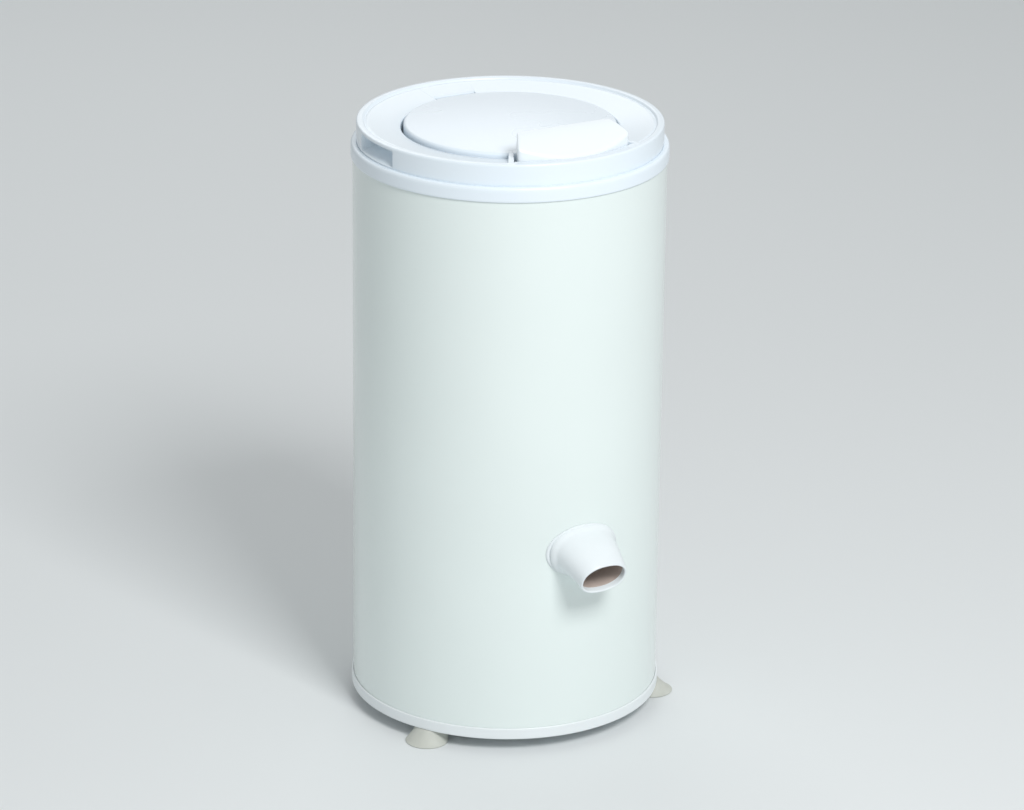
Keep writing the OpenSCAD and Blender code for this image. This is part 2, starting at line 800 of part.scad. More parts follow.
module motor_lower_cap() {
    color([0.72, 0.73, 0.75]) difference() {
        union() {
            ring(motor_r, motor_r - 4, cap_z, shell_z);
            ring(motor_r, 17.5, cap_z, cap_z + 4);
            ring(23, 17.5, cap_z, 91);
            rod(23, cap_z, cap_z + 3);
            for (a = [45:90:315]) at(a, 57) rod(5, cap_z, shell_z);
        }
        for (a = [45:90:315]) at(a, 58) rod(2.5, cap_z - 1, shell_z + 1);
        // air slots
        for (a = [0:30:330]) rotate([0, 0, a]) block([30, -3, cap_z - 1], [50, 3, cap_z + 5]);
    }
}

module motor_shell() {
    color([0.25, 0.28, 0.33]) ring(motor_r, motor_r - 2, shell_z, top_cap_z);
}

module stator_core() {
    color([0.5, 0.51, 0.53]) difference() {
        ring(motor_r - 2, 36.3, 102, 156);
        for (a = [45:90:315]) at(a, 58) rod(2.5, 90, 170);
    }
}

module stator_windings() {
    color([0.72, 0.42, 0.2]) {
        ring(52, 40, 84, 102);
        ring(52, 40, 156, 172);
    }
}

module motor_upper_cap() {
    color([0.72, 0.73, 0.75]) difference() {
        union() {
            ring(motor_r, motor_r - 4, top_cap_z, motor_top);
            ring(motor_r, 21, motor_top - 5, motor_top);
            ring(27, 21, top_cap_z + 7, 190);
            for (a = [45:90:315]) at(a, 57) rod(5, top_cap_z, motor_top);
            // ears of the brake pivot and of the cable stop
            block([38, arm_y - 7, motor_top - 5], [arm_x + 7, arm_y + 7, motor_top]);
            block([30, -46, motor_top - 5], [64, -34, motor_top]);
            block([59, -46, motor_top - 5], [64, -34, 209]);
            // post of the brake spring
            translate([11.5, -46, 0]) rod(2.8, motor_top - 1, 208);
        }
        translate([arm_x, arm_y, 0]) rod(3, motor_top - 8, motor_top + 2);
        bar_x(1.5, 50, 70, -40, 203);
        for (a = [45:90:315]) at(a, 58) rod(2.5, top_cap_z - 1, motor_top + 1);
    }
}

module motor_bolts() {
    color("silver") for (a = [45:90:315]) at(a, 58) {
        rod(2.5, carrier_z, motor_top);
        rod(4.5, motor_top, motor_top + 3.5);
        rod(4.5, carrier_z - 4, carrier_z);
    }
}

module motor_bearings() {
    color("silver") {
        ring(17.5, neck_r + gap, 78, 90);
        ring(21, shaft_r + gap, 171, 183);
    }
}

module shaft_seal() {
    color([0.2, 0.2, 0.22]) ring(21, shaft_r + gap, 184, 190);
}

// ---- brake ---------------------------------------------------------------

module brake_arm() {
    lower = brake_z + 3;
    upper = brake_z + 11;
    color([0.65, 0.66, 0.68]) difference() {
        union() {
            block([arm_x - 3.5, -43, lower], [arm_x + 3.5, arm_y, upper]);
            translate([arm_x, arm_y, 0]) rod(6.5, lower, upper);
        }
        translate([arm_x, arm_y, 0]) rod(3 + gap, lower - 1, upper + 1);
    }
}

module brake_lining() {
    color([0.35, 0.3, 0.27]) difference() {
        block([30, -12, brake_z + 2], [arm_x - 3.5, 12, brake_z + 12]);
        rod(brake_r + shoe_gap, brake_z, brake_z + 20);
    }
}

module brake_pivot() {
    color("silver") translate([arm_x, arm_y, 0]) {
        rod(3, motor_top - 5, brake_z + 12);
        rod(5.5, motor_top, brake_z + 2.7);
        rod(5.5, brake_z + 11.3, brake_z + 14);
    }
}

// Closed winding that pulls the brake on
module brake_spring() {
    turns = 7;
    steps = 12;
    color("gray") tube([for (i = [0:turns * steps]) let (a = 360 * i / steps)
        [15 + 27.5 * i / (turns * steps), -46 + 4 * cos(a), 203 + 4 * sin(a)]], 0.7, 6);
}

// Cable from the interlock down between the tub and the casing to the brake arm
cable_route = [
    [14, -128, 637.5], [19, -128.5, 637.5], [24, -131, 638], [30, -138, 638],
    [34, -144, 636.5], [36, -147.5, 631],
    [36, -147.5, 624], [38, -148, 612], [46, -146, 598], [62, -140, 578],
    [84, -128, 552], [100, -115.5, 524], [107, -109, 496], [108, -108, 470],
    [108, -108, 430], [108, -108, 390], [108, -108, 350], [108, -108, 310],
    [108, -108, 270], [106, -104, 248], [101, -92, 230], [94, -76, 216],
    [85, -58, 207], [75, -45, 203.5], [64, -40, 203]
];

module brake_cable() {
    color([0.15, 0.15, 0.16]) {
        tube(cable_route, 2.2, 8, [1, -0.9, 0.35]);
        bar_x(0.9, 51.2, 66, -40, 203);
    }
}

// ---- electrical parts ----------------------------------------------------

module capacitor() {
    color([0.75, 0.77, 0.8]) at(150, 140) rod(17.5, base_z + 3, 92);
}

module capacitor_clip() {
    color([0.2, 0.2, 0.22]) at(150, 140) difference() {
        union() {
            rod(19.5, 36, 46);
            block([-5, 15, base_z + 3], [5, 21, 46]);
        }
        rod(17.5, base_z, 60);
    }
}

module terminal_block() {
    color([0.9, 0.9, 0.86]) at(210, 140) difference() {
        block([-22, -9, base_z + 3], [22, 9, base_z + 25]);
        for (i = [-2:2]) translate([i * 8, 0, 0]) rod(2.4, base_z + 14, base_z + 30);
    }
}

module cable_gland() {
    color([0.2, 0.2, 0.22]) difference() {
        union() {
            bar_y(gland_corner, casing_r - 6, casing_r + 4, 0, inlet_z, $fn = 6);
            bar_y(11, casing_r + 0.2, casing_r + 3, 0, inlet_z);
            bar_y(11, casing_r - 5.5, casing_r - 2.2, 0, inlet_z);
        }
        bar_y(4, casing_r - 10, casing_r + 10, 0, inlet_z);
    }
}

outer_casing();
base_pan();
foot_front_left();
foot_front_right();
foot_rear();
foot_screws();
collar_ring();
top_frame();
frame_screws();
hinge_bracket();
hinge_pin();
strike_plate();
interlock_housing();
interlock_slider();
lid_cover();
lid_liner();
lid_seal();
hinge_leaf();
handle_pin();
handle_spring();
lid_handle();
latch_hook();
tub();
drain_sump();
tub_cover();
opening_seal();
drain_sleeve();
spout();
spout_gasket();
spin_drum();
drum_hub();
hub_nut();
hub_cap();
water_slinger();
drive_shaft();
motor_rotor();
brake_drum();
cooling_fan();
motor_carrier();
buffer_front();
buffer_right();
buffer_left();
buffer_bolts();
motor_lower_cap();
motor_shell();
stator_core();
stator_windings();
motor_upper_cap();
motor_bolts();
motor_bearings();
shaft_seal();
brake_arm();
brake_lining();
brake_pivot();
brake_spring();
brake_cable();
capacitor();
capacitor_clip();
terminal_block();
cable_gland();
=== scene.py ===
"""Looks of a free-standing laundry spin dryer.

A white painted casing on three flared rubber feet carries a dished plastic top frame
with a domed lid, a lever handle and two side grips. A hooded spout stands low at the
front. Sizes are in millimetres, angles in degrees from the front (-Y) towards +X, and
the skins go into their meshes in metres.
"""

from __future__ import annotations

import json
import logging
import math
from dataclasses import dataclass
from enum import Enum
from itertools import product
from typing import Any

import bmesh
import bpy
import numpy as np
from mathutils import Matrix, Vector

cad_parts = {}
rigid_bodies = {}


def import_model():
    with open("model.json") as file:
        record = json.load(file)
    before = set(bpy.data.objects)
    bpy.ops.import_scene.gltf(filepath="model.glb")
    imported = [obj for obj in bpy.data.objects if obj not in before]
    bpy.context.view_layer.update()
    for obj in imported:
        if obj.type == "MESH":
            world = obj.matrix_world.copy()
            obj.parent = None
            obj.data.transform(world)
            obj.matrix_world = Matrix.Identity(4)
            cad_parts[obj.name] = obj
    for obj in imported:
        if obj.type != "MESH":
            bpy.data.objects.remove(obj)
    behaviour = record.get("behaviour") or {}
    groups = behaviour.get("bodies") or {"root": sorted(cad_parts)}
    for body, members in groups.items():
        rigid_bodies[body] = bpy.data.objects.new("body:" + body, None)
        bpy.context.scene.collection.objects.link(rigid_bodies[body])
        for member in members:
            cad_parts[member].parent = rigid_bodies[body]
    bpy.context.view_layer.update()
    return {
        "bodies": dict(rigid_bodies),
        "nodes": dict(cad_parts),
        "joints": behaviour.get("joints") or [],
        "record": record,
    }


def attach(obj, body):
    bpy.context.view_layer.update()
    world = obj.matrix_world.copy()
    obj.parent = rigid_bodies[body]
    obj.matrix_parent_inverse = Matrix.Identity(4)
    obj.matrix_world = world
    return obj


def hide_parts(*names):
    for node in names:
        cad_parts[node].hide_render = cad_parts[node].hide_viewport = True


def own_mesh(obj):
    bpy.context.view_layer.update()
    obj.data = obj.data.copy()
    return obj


LOG = logging.getLogger("spin_dryer")
MM = 0.001
SHARP = 34.0  # angle in degrees above which an edge shows as an edge

# what several sub-assemblies share: the casing's outer radius and the handle's pin
CASING_R = 170.0
PIN_Y, PIN_Z = -143.0, 666.0

Points = np.ndarray
Place = tuple[float, float, float]
Socket = bpy.types.NodeSocket


# ---- curves and grids ----------------------------------------------------


def smooth(x: Points) -> Points:
    """Eased step: 3x^2 - 2x^3, with x held between 0 and 1."""
    x = np.clip(x, 0.0, 1.0)
    return x * x * (3.0 - 2.0 * x)


def bump(angles: Points, centre: float, half: float, soft: float) -> Points:
    """Share that is 1 within half of centre and eases to 0 over soft degrees outside it.

    Args:
        angles: Angles in degrees.
        centre: Middle of the band.
        half: Half width of the full band.
        soft: Width of the eased flank, which lies outside the band.

    Returns:
        One share per angle.
    """
    away = np.abs((angles - centre + 180.0) % 360.0 - 180.0)
    return smooth(1.0 - (away - half) / soft)


def turns(count: int) -> Points:
    """Even angles for a full turn, in degrees."""
    return np.linspace(-180.0, 180.0, count, endpoint=False)


def circle(count: int) -> Points:
    """Even angles for a full turn, in radians."""
    return np.linspace(0.0, 2 * np.pi, count, endpoint=False)


def oval(q: Points, power: float = 1.0) -> Points:
    """Cosine and sine of q, each raised to a power with its sign kept, shape (n, 2)."""
    turn = np.stack([np.cos(q), np.sin(q)], axis=-1)
    return np.sign(turn) * np.abs(turn) ** power


def stacked(x: Points, y: Points, z: Points) -> Points:
    """Points from their coordinates, which are first spread to one shape."""
    return np.stack(np.broadcast_arrays(x, y, z), axis=-1)


def rounded(corners: Points, radii: Points, steps: int = 4) -> Points:
    """Rounds each corner of closed outlines with a quadratic curve.

    Each corner C becomes (1-t)^2 A + 2t(1-t) C + t^2 B, where A and B lie on the two
    sides at the corner's radius, or at 0.48 of a side that is shorter.

    Args:
        corners: Corners in order, shape (..., n, 2).
        radii: One radius per corner, shape (n,).
        steps: Pieces that each curve is drawn with.

    Returns:
        Outline points, shape (..., n * (steps + 1), 2).
    """
    reach = []
    for shift in (1, -1):
        side = np.roll(corners, shift, axis=-2) - corners
        length = np.maximum(np.linalg.norm(side, axis=-1, keepdims=True), 1e-9)
        reach.append(corners + side / length * np.minimum(radii[:, None], 0.48 * length))
    t = np.linspace(0.0, 1.0, steps + 1)[:, None]
    start, end = (p[..., None, :] for p in reach)
    curve = (1 - t) ** 2 * start + 2 * t * (1 - t) * corners[..., None, :] + t**2 * end
    return curve.reshape(*corners.shape[:-2], -1, 2)


def around(profile: Points, angles: Points) -> Points:
    """Carries a (radius, height) profile round the drum axis.

    A point (r, z) at angle a goes to (r sin a, -r cos a, z).

    Args:
        profile: One profile (n, 2), or one for each angle (m, n, 2).
        angles: Angles in degrees, shape (m,).

    Returns:
        Grid of points, shape (m, n, 3).
    """
    a, r = np.radians(angles)[:, None], profile[..., 0]
    return stacked(r * np.sin(a), -r * np.cos(a), profile[..., 1])


def turned(profile: Points, count: int, back: float | Points = np.inf) -> Skin:
    """Carries a closed profile round the drum axis and cuts it flat at the rear.

    Args:
        profile: Points (radius, height), shape (n, 2).
        count: Number of angles.
        back: Greatest y, one for all points or one for each.

    Returns:
        The skin.
    """
    grid = around(profile, turns(count))
    grid[..., 1] = np.minimum(grid[..., 1], back)
    return Skin().add(grid, True, True)


def tube(path: Points, radius: float, sides: int, hint: Place = (1.0, -0.9, 0.35)) -> Points:
    """Carries a circle along a path, square to it.

    Args:
        path: Centre points, shape (n, 3).
        radius: Radius of the tube.
        sides: Points of the circle.
        hint: Direction that the path never takes.

    Returns:
        Grid of points, shape (n, sides, 3).
    """
    along = np.gradient(path, axis=0)
    along /= np.linalg.norm(along, axis=1, keepdims=True)
    u = np.array(hint) - (along @ np.array(hint))[:, None] * along
    u /= np.linalg.norm(u, axis=1, keepdims=True)
    v = np.cross(along, u)
    q = circle(sides)[:, None]
    return path[:, None] + radius * (np.cos(q) * u[:, None] + np.sin(q) * v[:, None])


def through(knots: Points, count: int) -> Points:
    """Smooth curve through knots: a Catmull-Rom spline at even steps of its parameter.

    Args:
        knots: Points to pass through, shape (k, 3).
        count: Points returned.

    Returns:
        Points, shape (count, 3).
    """
    p = np.vstack([2 * knots[0] - knots[1], knots, 2 * knots[-1] - knots[-2]])
    s = np.linspace(0.0, len(knots) - 1 - 1e-9, count)
    i = s.astype(int)
    t = (s - i)[:, None]
    a, b, c, d = (p[i + k] for k in range(4))
    square, cube = 2 * a - 5 * b + 4 * c - d, 3 * b - a - 3 * c + d
    return 0.5 * (2 * b + (c - a) * t + square * t**2 + cube * t**3)


def soft_box(low: Points, high: Points, radius: float, cuts: int = 3) -> list[Points]:
    """Six grids of a box with rounded edges.

    A point p of the plain box goes to q + radius * (p - q) / |p - q|, where q is p held
    inside the box drawn in by the radius.

    Args:
        low: Lowest corner.
        high: Highest corner.
        radius: Radius of the edges.
        cuts: Points across each rounded edge.

    Returns:
        Six grids of points.
    """
    lines = [np.concatenate([np.linspace(a, a + radius, cuts + 1),
                             np.linspace(b - radius, b, cuts + 1)]) for a, b in zip(low, high)]
    grids = []
    for axis, face in product(range(3), (low, high)):
        first, second = [k for k in range(3) if k != axis]
        p = np.empty((2 * cuts + 2, 2 * cuts + 2, 3))
        p[..., axis] = face[axis]
        p[..., first], p[..., second] = np.meshgrid(lines[first], lines[second], indexing="ij")
        q = np.clip(p, low + radius, high - radius)
        out = p - q
        grids.append(q + radius * out / np.linalg.norm(out, axis=-1, keepdims=True))
    return grids


def plate(skin: Skin, outline: Points, x0: float, x1: float, edge: float = 0.4) -> None:
    """Adds a flat plate square to X, with chamfered edges.

    Four copies of the outline stand at x0, x0 + edge, x1 - edge and x1; the outer two are
    drawn towards its middle by the chamfer.

    Args:
        skin: The skin that it is added to.
        outline: Side view in (y, z), shape (n, 2).
        x0: Its left face.
        x1: Its right face.
        edge: Width of the chamfer.
    """
    away = outline - outline.mean(axis=0)
    small = outline - away / np.linalg.norm(away, axis=1, keepdims=True) * edge
    skin.rod(np.stack([np.insert(flat, 0, x, axis=1) for x, flat in (
        (x0, small), (x0 + edge, outline), (x1 - edge, outline), (x1, small))]))


class Skin:
    """A closed skin put together from grids of points, in millimetres."""

    def __init__(self) -> None:
        """Starts with no points."""
        self.points: list[Points] = []
        self.quads: list[Points] = []
        self.count = 0

    def add(self, grid: Points, wrap_u: bool = False, wrap_v: bool = False,
            keep: Points | None = None) -> Skin:
        """Joins neighbouring points of a grid by quads.

        Args:
            grid: Points, shape (rows, columns, 3).
            wrap_u: Joins the last row to the first.
            wrap_v: Joins the last column to the first.
            keep: Which quads to make, shape of the quads' own grid.

        Returns:
            This skin.
        """
        rows, columns = grid.shape[:2]
        index = np.arange(rows * columns).reshape(rows, columns)
        index = np.vstack([index, index[:1]]) if wrap_u else index
        index = np.hstack([index, index[:, :1]]) if wrap_v else index
        quads = np.stack([index[:-1, :-1], index[1:, :-1], index[1:, 1:], index[:-1, 1:]], axis=-1)
        quads = quads.reshape(-1, 4) if keep is None else quads[keep]
        self.points.append(grid.reshape(-1, 3))
        self.quads.append(quads + self.count)
        self.count += rows * columns
        return self

    def cap(self, ring: Points) -> Skin:
        """Closes a ring of points with a fan to its middle."""
        middle = np.broadcast_to(ring.mean(axis=0), ring.shape)
        return self.add(np.stack([ring, middle]), wrap_v=True)

    def rod(self, rings: Points) -> Skin:
        """Joins rings of points, shape (rows, columns, 3), and closes both ends."""
        return self.add(rings, wrap_v=True).cap(rings[0]).cap(rings[-1])

    def build(self, name: str, finish: Finish, sharp: float = SHARP) -> bpy.types.Object:
        """Makes the mesh: seams and poles are merged, then the faces turned outwards.

        Args:
            name: Name of the piece.
            finish: What its surface is made of.
            sharp: As SHARP.

        Returns:
            The new object, at the origin.
        """
        mesh = bpy.data.meshes.new(name)
        mesh.from_pydata((np.concatenate(self.points) * MM).tolist(), [],
                         np.concatenate(self.quads).tolist())
        work = bmesh.new()
        work.from_mesh(mesh)
        bmesh.ops.remove_doubles(work, verts=work.verts, dist=2e-6)
        bmesh.ops.recalc_face_normals(work, faces=work.faces)
        work.to_mesh(mesh)
        work.free()
        mesh.polygons.foreach_set("use_smooth", np.ones(len(mesh.polygons), bool))
        mesh.set_sharp_from_angle(angle=math.radians(sharp))
        mesh.materials.append(finish.material())
        piece = bpy.data.objects.new(name, mesh)
        bpy.context.scene.collection.objects.link(piece)
        LOG.info("%s: %d faces, %s", name, len(mesh.polygons), finish.name)
        return piece


# ---- finishes ------------------------------------------------------------


def linear(colour: str) -> tuple[float, float, float, float]:
    """Turns an sRGB hex colour to linear values.

    Args:
        colour: Such as "#aabbcc".

    Returns:
        Red, green, blue and 1.
    """
    values = [int(colour[i:i + 2], 16) / 255.0 for i in (1, 3, 5)]
    r, g, b = (v / 12.92 if v <= 0.04045 else ((v + 0.055) / 1.055) ** 2.4 for v in values)
    return r, g, b, 1.0


def add(tree: bpy.types.NodeTree, kind: str, settings: dict[Any, Any] | None = None,
        links: dict[Any, Socket] | None = None) -> bpy.types.Node:
    """Adds a node with its settings and links.

    Args:
        tree: Node tree of a material or of the world.
        kind: Blender's name of the node's type, without "ShaderNode".
        settings: Values by property name, or by the name or number of an input.
        links: Output sockets by the name or number of the input they feed.

    Returns:
        The new node.
    """
    node = tree.nodes.new("ShaderNode" + kind)
    for key, value in (settings or {}).items():
        if isinstance(key, str) and hasattr(node, key):
            setattr(node, key, value)
        else:
            node.inputs[key].default_value = value
    for key, socket in (links or {}).items():
        tree.links.new(socket, node.inputs[key])
    return node


class Grain(Enum):
    """Form of a fine texture: its node, the node's settings and the output of its height."""

    SWELLS = ("TexNoise", {"Detail": 1.5}, "Fac")  # moulded or sprayed
    BRUSHED = ("TexNoise", {"Detail": 3.0, "Roughness": 0.7}, "Fac")  # round the drum axis
    CAST = ("TexVoronoi", {"feature": "SMOOTH_F1"}, "Distance")  # pressure die-cast
    WOUND = ("TexWave", {"Distortion": 1.5, "Detail": 1.0, "bands_direction": "Z"}, "Fac")
    FIBRE = ("TexNoise", {"Detail": 6.0}, "Fac")  # fibre pressed in resin


STREAKS = (0.04, 0.04, 1.0)  # stretches noise into streaks that lie level
WAVE_BANDS = 6.3  # bands of the wave texture in one unit of its scale
DRIFT = 0.03  # how far a roughness drifts to either side
COAT_ROUGHNESS = 0.12


@dataclass(frozen=True)
class Finish:
    """What a surface is made of and how it was made.

    Its colour and roughness drift in soft patches of patch_mm, the colour as far as the
    sRGB value patch. grain_mm and relief_mm are the width and depth of its fine texture,
    and through is the share of light that goes into it.
    """

    name: str
    colour: str
    patch: str
    roughness: float
    grain_mm: float
    relief_mm: float
    patch_mm: float
    grain: Grain = Grain.SWELLS
    ior: float = 1.5
    metallic: float = 0.0
    coat: float = 0.0
    sheen: float = 0.0
    through: float = 0.0

    def texture(self, tree: bpy.types.NodeTree, place: Socket) -> Socket:
        """Height of the fine texture from 0 to 1.

        Args:
            tree: The material's nodes.
            place: Object coordinates in metres.

        Returns:
            A value socket.
        """
        kind, settings, output = self.grain.value
        scale = 1.0 / (self.grain_mm * MM)
        if self.grain is Grain.WOUND:
            scale /= WAVE_BANDS
        if self.grain is Grain.BRUSHED:
            place = add(tree, "Mapping", {"Scale": STREAKS}, {"Vector": place}).outputs[0]
        return add(tree, kind, {"Scale": scale, **settings}, {"Vector": place}).outputs[output]

    def material(self) -> bpy.types.Material:
        """Makes the material the first time, and finds it again after that.

        Returns:
            The material.
        """
        known = bpy.data.materials.get(self.name)
        if known:
            return known
        made = bpy.data.materials.new(self.name)
        made.use_nodes = True
        made.diffuse_color = linear(self.colour)
        tree = made.node_tree
        place = add(tree, "TexCoord").outputs["Object"]
        cloud = add(tree, "TexNoise", {"Scale": 1.0 / (self.patch_mm * MM), "Detail": 2.0},
                    {"Vector": place}).outputs["Fac"]
        spread = add(tree, "MapRange", {"interpolation_type": "SMOOTHSTEP", "From Min": 0.2,
                                        "From Max": 0.8}, {"Value": cloud})
        colour = add(tree, "Mix", {"data_type": "RGBA", 6: linear(self.colour),
                                   7: linear(self.patch)}, {0: spread.outputs[0]})
        dull = add(tree, "MapRange", {"To Min": max(self.roughness - DRIFT, 0.02),
                                      "To Max": min(self.roughness + DRIFT, 1.0)},
                   {"Value": cloud})
        relief = add(tree, "Bump", {"Strength": 1.0, "Distance": self.relief_mm * MM},
                     {"Height": self.texture(tree, place)})
        inputs = tree.nodes["Principled BSDF"].inputs
        for name, socket in (("Base Color", colour.outputs[2]), ("Roughness", dull.outputs[0]),
                             ("Normal", relief.outputs[0])):
            tree.links.new(socket, inputs[name])
        values = {"Metallic": self.metallic, "Coat Weight": self.coat,
                  "Coat Roughness": COAT_ROUGHNESS, "Sheen Weight": self.sheen}
        if not self.metallic:
            values["IOR"] = self.ior
        if self.through:
            values |= {"Subsurface Weight": self.through, "Subsurface Scale": 1.0,
                       "Subsurface Radius": (0.004, 0.004, 0.004)}
        for name, value in values.items():
            inputs[name].default_value = value
        return made


# Each finish is keyed by the record's material slot. After the roughness come the grain's
# width and depth and the patches' width in mm.
FINISHES: dict[str, Finish] = {
    # polyester powder stoved on sheet steel: glossy, with a faint orange peel
    "casing_paint": Finish(
        "stoved_white_paint", "#e9f3f1", "#e7f1ef", 0.24, 5.0, 0.012, 140.0, coat=0.35),
    # ABS from a polished tool: an even gloss, a cool bluish white
    "frame_plastic": Finish(
        "moulded_abs_cool_white", "#eaf4fb", "#e9f3fb", 0.26, 1.5, 0.006, 90.0, ior=1.53),
    # ABS from a finer-etched tool: a touch duller and greyer than the frame round it
    "lid_plastic": Finish(
        "moulded_abs_lid_white", "#e9f3fb", "#e8f2fa", 0.28, 1.5, 0.006, 90.0, ior=1.53),
    # ABS from a mirror-polished tool: the brightest white and the sharpest highlight
    "handle_plastic": Finish(
        "moulded_abs_bright_white", "#f0f7fc", "#eff6fb", 0.24, 1.2, 0.005, 50.0, ior=1.53),
    # moulded polypropylene: waxy, and its thin lip lets a little light through
    "spout_plastic": Finish(
        "moulded_polypropylene_white", "#edf4f7", "#ebf2f5", 0.32, 1.5, 0.008, 35.0, through=0.04),
    # ABS from a plain tool: a broad soft gloss, a nearly neutral white
    "base_plastic": Finish(
        "moulded_abs_base_white", "#ecf2f4", "#eaf0f2", 0.32, 1.5, 0.008, 70.0, ior=1.53),
    # polypropylene with chalk filler: milky, softly dull
    "tub_plastic": Finish(
        "filled_polypropylene_grey_white", "#ccd5da", "#c3cdd3", 0.42, 1.6, 0.012, 60.0),
    # dyed polypropylene: a satin grey blue
    "cap_plastic": Finish(
        "moulded_grey_blue_polypropylene", "#8d9aa5", "#84919d", 0.38, 1.0, 0.01, 18.0),
    # polyamide with glass fibre: charcoal, dulled by the fibres in its skin
    "dark_plastic": Finish(
        "moulded_charcoal_polyamide", "#3c4147", "#34393f", 0.45, 0.8, 0.012, 20.0),
    # polyamide in its natural colour: a warm satin cream
    "block_plastic": Finish(
        "moulded_cream_polyamide", "#e3e0d2", "#dad6c6", 0.4, 0.8, 0.01, 15.0),
    # rubber moulded with chalk in it: matt, with dusty patches
    "foot_rubber": Finish(
        "grey_beige_rubber", "#cacdc5", "#c2c5bd", 0.62, 1.4, 0.03, 16.0, sheen=0.05),
    # moulded nitrile rubber: matt black with a grey bloom
    "dark_rubber": Finish(
        "black_nitrile_rubber", "#3d3f42", "#333538", 0.58, 1.2, 0.025, 14.0, sheen=0.06),
    # zinc plate on steel: bright, slightly cloudy
    "steel": Finish(
        "zinc_plated_steel", "#c2c5c9", "#adb1b6", 0.32, 0.6, 0.006, 8.0, metallic=1.0),
    # drawn wire: darker than plate, with a thin line of light along each turn
    "spring_steel": Finish(
        "drawn_spring_steel", "#9b9c9f", "#86878a", 0.3, 0.4, 0.004, 4.0, metallic=1.0),
    # stainless sheet, spun and brushed round the axis: its highlights smear up and down
    "drum_steel": Finish(
        "brushed_stainless_steel", "#c9cbcd", "#bdbfc2", 0.3,
        0.9, 0.012, 70.0, Grain.BRUSHED, metallic=1.0),
    # pressure die-cast alloy: dull silver with a pebbled skin
    "aluminium": Finish(
        "die_cast_aluminium", "#b9bcc0", "#a6a9ae", 0.42,
        2.2, 0.03, 25.0, Grain.CAST, metallic=1.0),
    # paint dipped on pressed steel: a flat mid grey with slow waves
    "carrier_paint": Finish(
        "grey_dip_paint", "#8f9498", "#83888d", 0.45, 3.5, 0.03, 50.0),
    # enamel sprayed and baked on: dark blue, half glossy
    "motor_paint": Finish(
        "dark_blue_motor_enamel", "#39414d", "#323a45", 0.36, 3.0, 0.02, 35.0),
    # enamelled copper wire of 0.7 mm, drawn twice as coarse so that its layers show
    "copper": Finish(
        "enamelled_copper_wire", "#b0693a", "#8f4f28", 0.33,
        1.4, 0.25, 14.0, Grain.WOUND, metallic=1.0),
    # fibre pressed in resin: a dead matt, flecked brown
    "lining": Finish(
        "pressed_brake_lining", "#5a5048", "#473f39", 0.8, 1.1, 0.08, 6.0, Grain.FIBRE),
}

# painted shade in the hood's mouth: a warm grey, quite dull sheet that stands in for the shade
# inside it
SPOUT_PAINTED_SHADE = Finish("painted_shade_warm_grey", "#cbbcb3", "#bfafa6", 0.7, 1.5, 0.05, 12.0, Grain.FIBRE)


# ---- the machine ---------------------------------------------------------


class Machine:
    """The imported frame, and what a piece needs from it: bodies and material slots."""

    def __init__(self, frame: dict[str, Any]) -> None:
        """Reads which body carries each node and which slot each node has.
        """
        record = frame["record"]
        bodies = record["behaviour"]["bodies"]
        self.nodes = frame["nodes"]
        self.body = {node: body for body, members in bodies.items() for node in members}
        self.slot = {s["node"]: s["material_slot"] for s in record["subparts"]}

    def dress_nodes(self) -> None:
        """Gives every CAD node the finish of its slot."""
        for name, node in self.nodes.items():
            node.data.materials.clear()
            node.data.materials.append(FINISHES[self.slot[name]].material())

    def stand(self, skin: Skin, name: str, node: str, sharp: float = SHARP,
              finish: Finish | None = None, replace: bool = True) -> bpy.types.Object:
        """Builds a piece that goes with one CAD node and has its body and slot.

        Args:
            skin: The piece's points and quads.
            name: Name of the piece.
            node: Name of the CAD node that it goes with.
            sharp: As SHARP.
            finish: Its surface, where that isn't the slot's own.
            replace: Whether it takes the CAD node's place.

        Returns:
            The piece, riding on the node's body.
        """
        piece = skin.build(name, finish or FINISHES[self.slot[node]], sharp)
        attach(piece, self.body[node])
        if replace:
            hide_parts(node)
        return piece


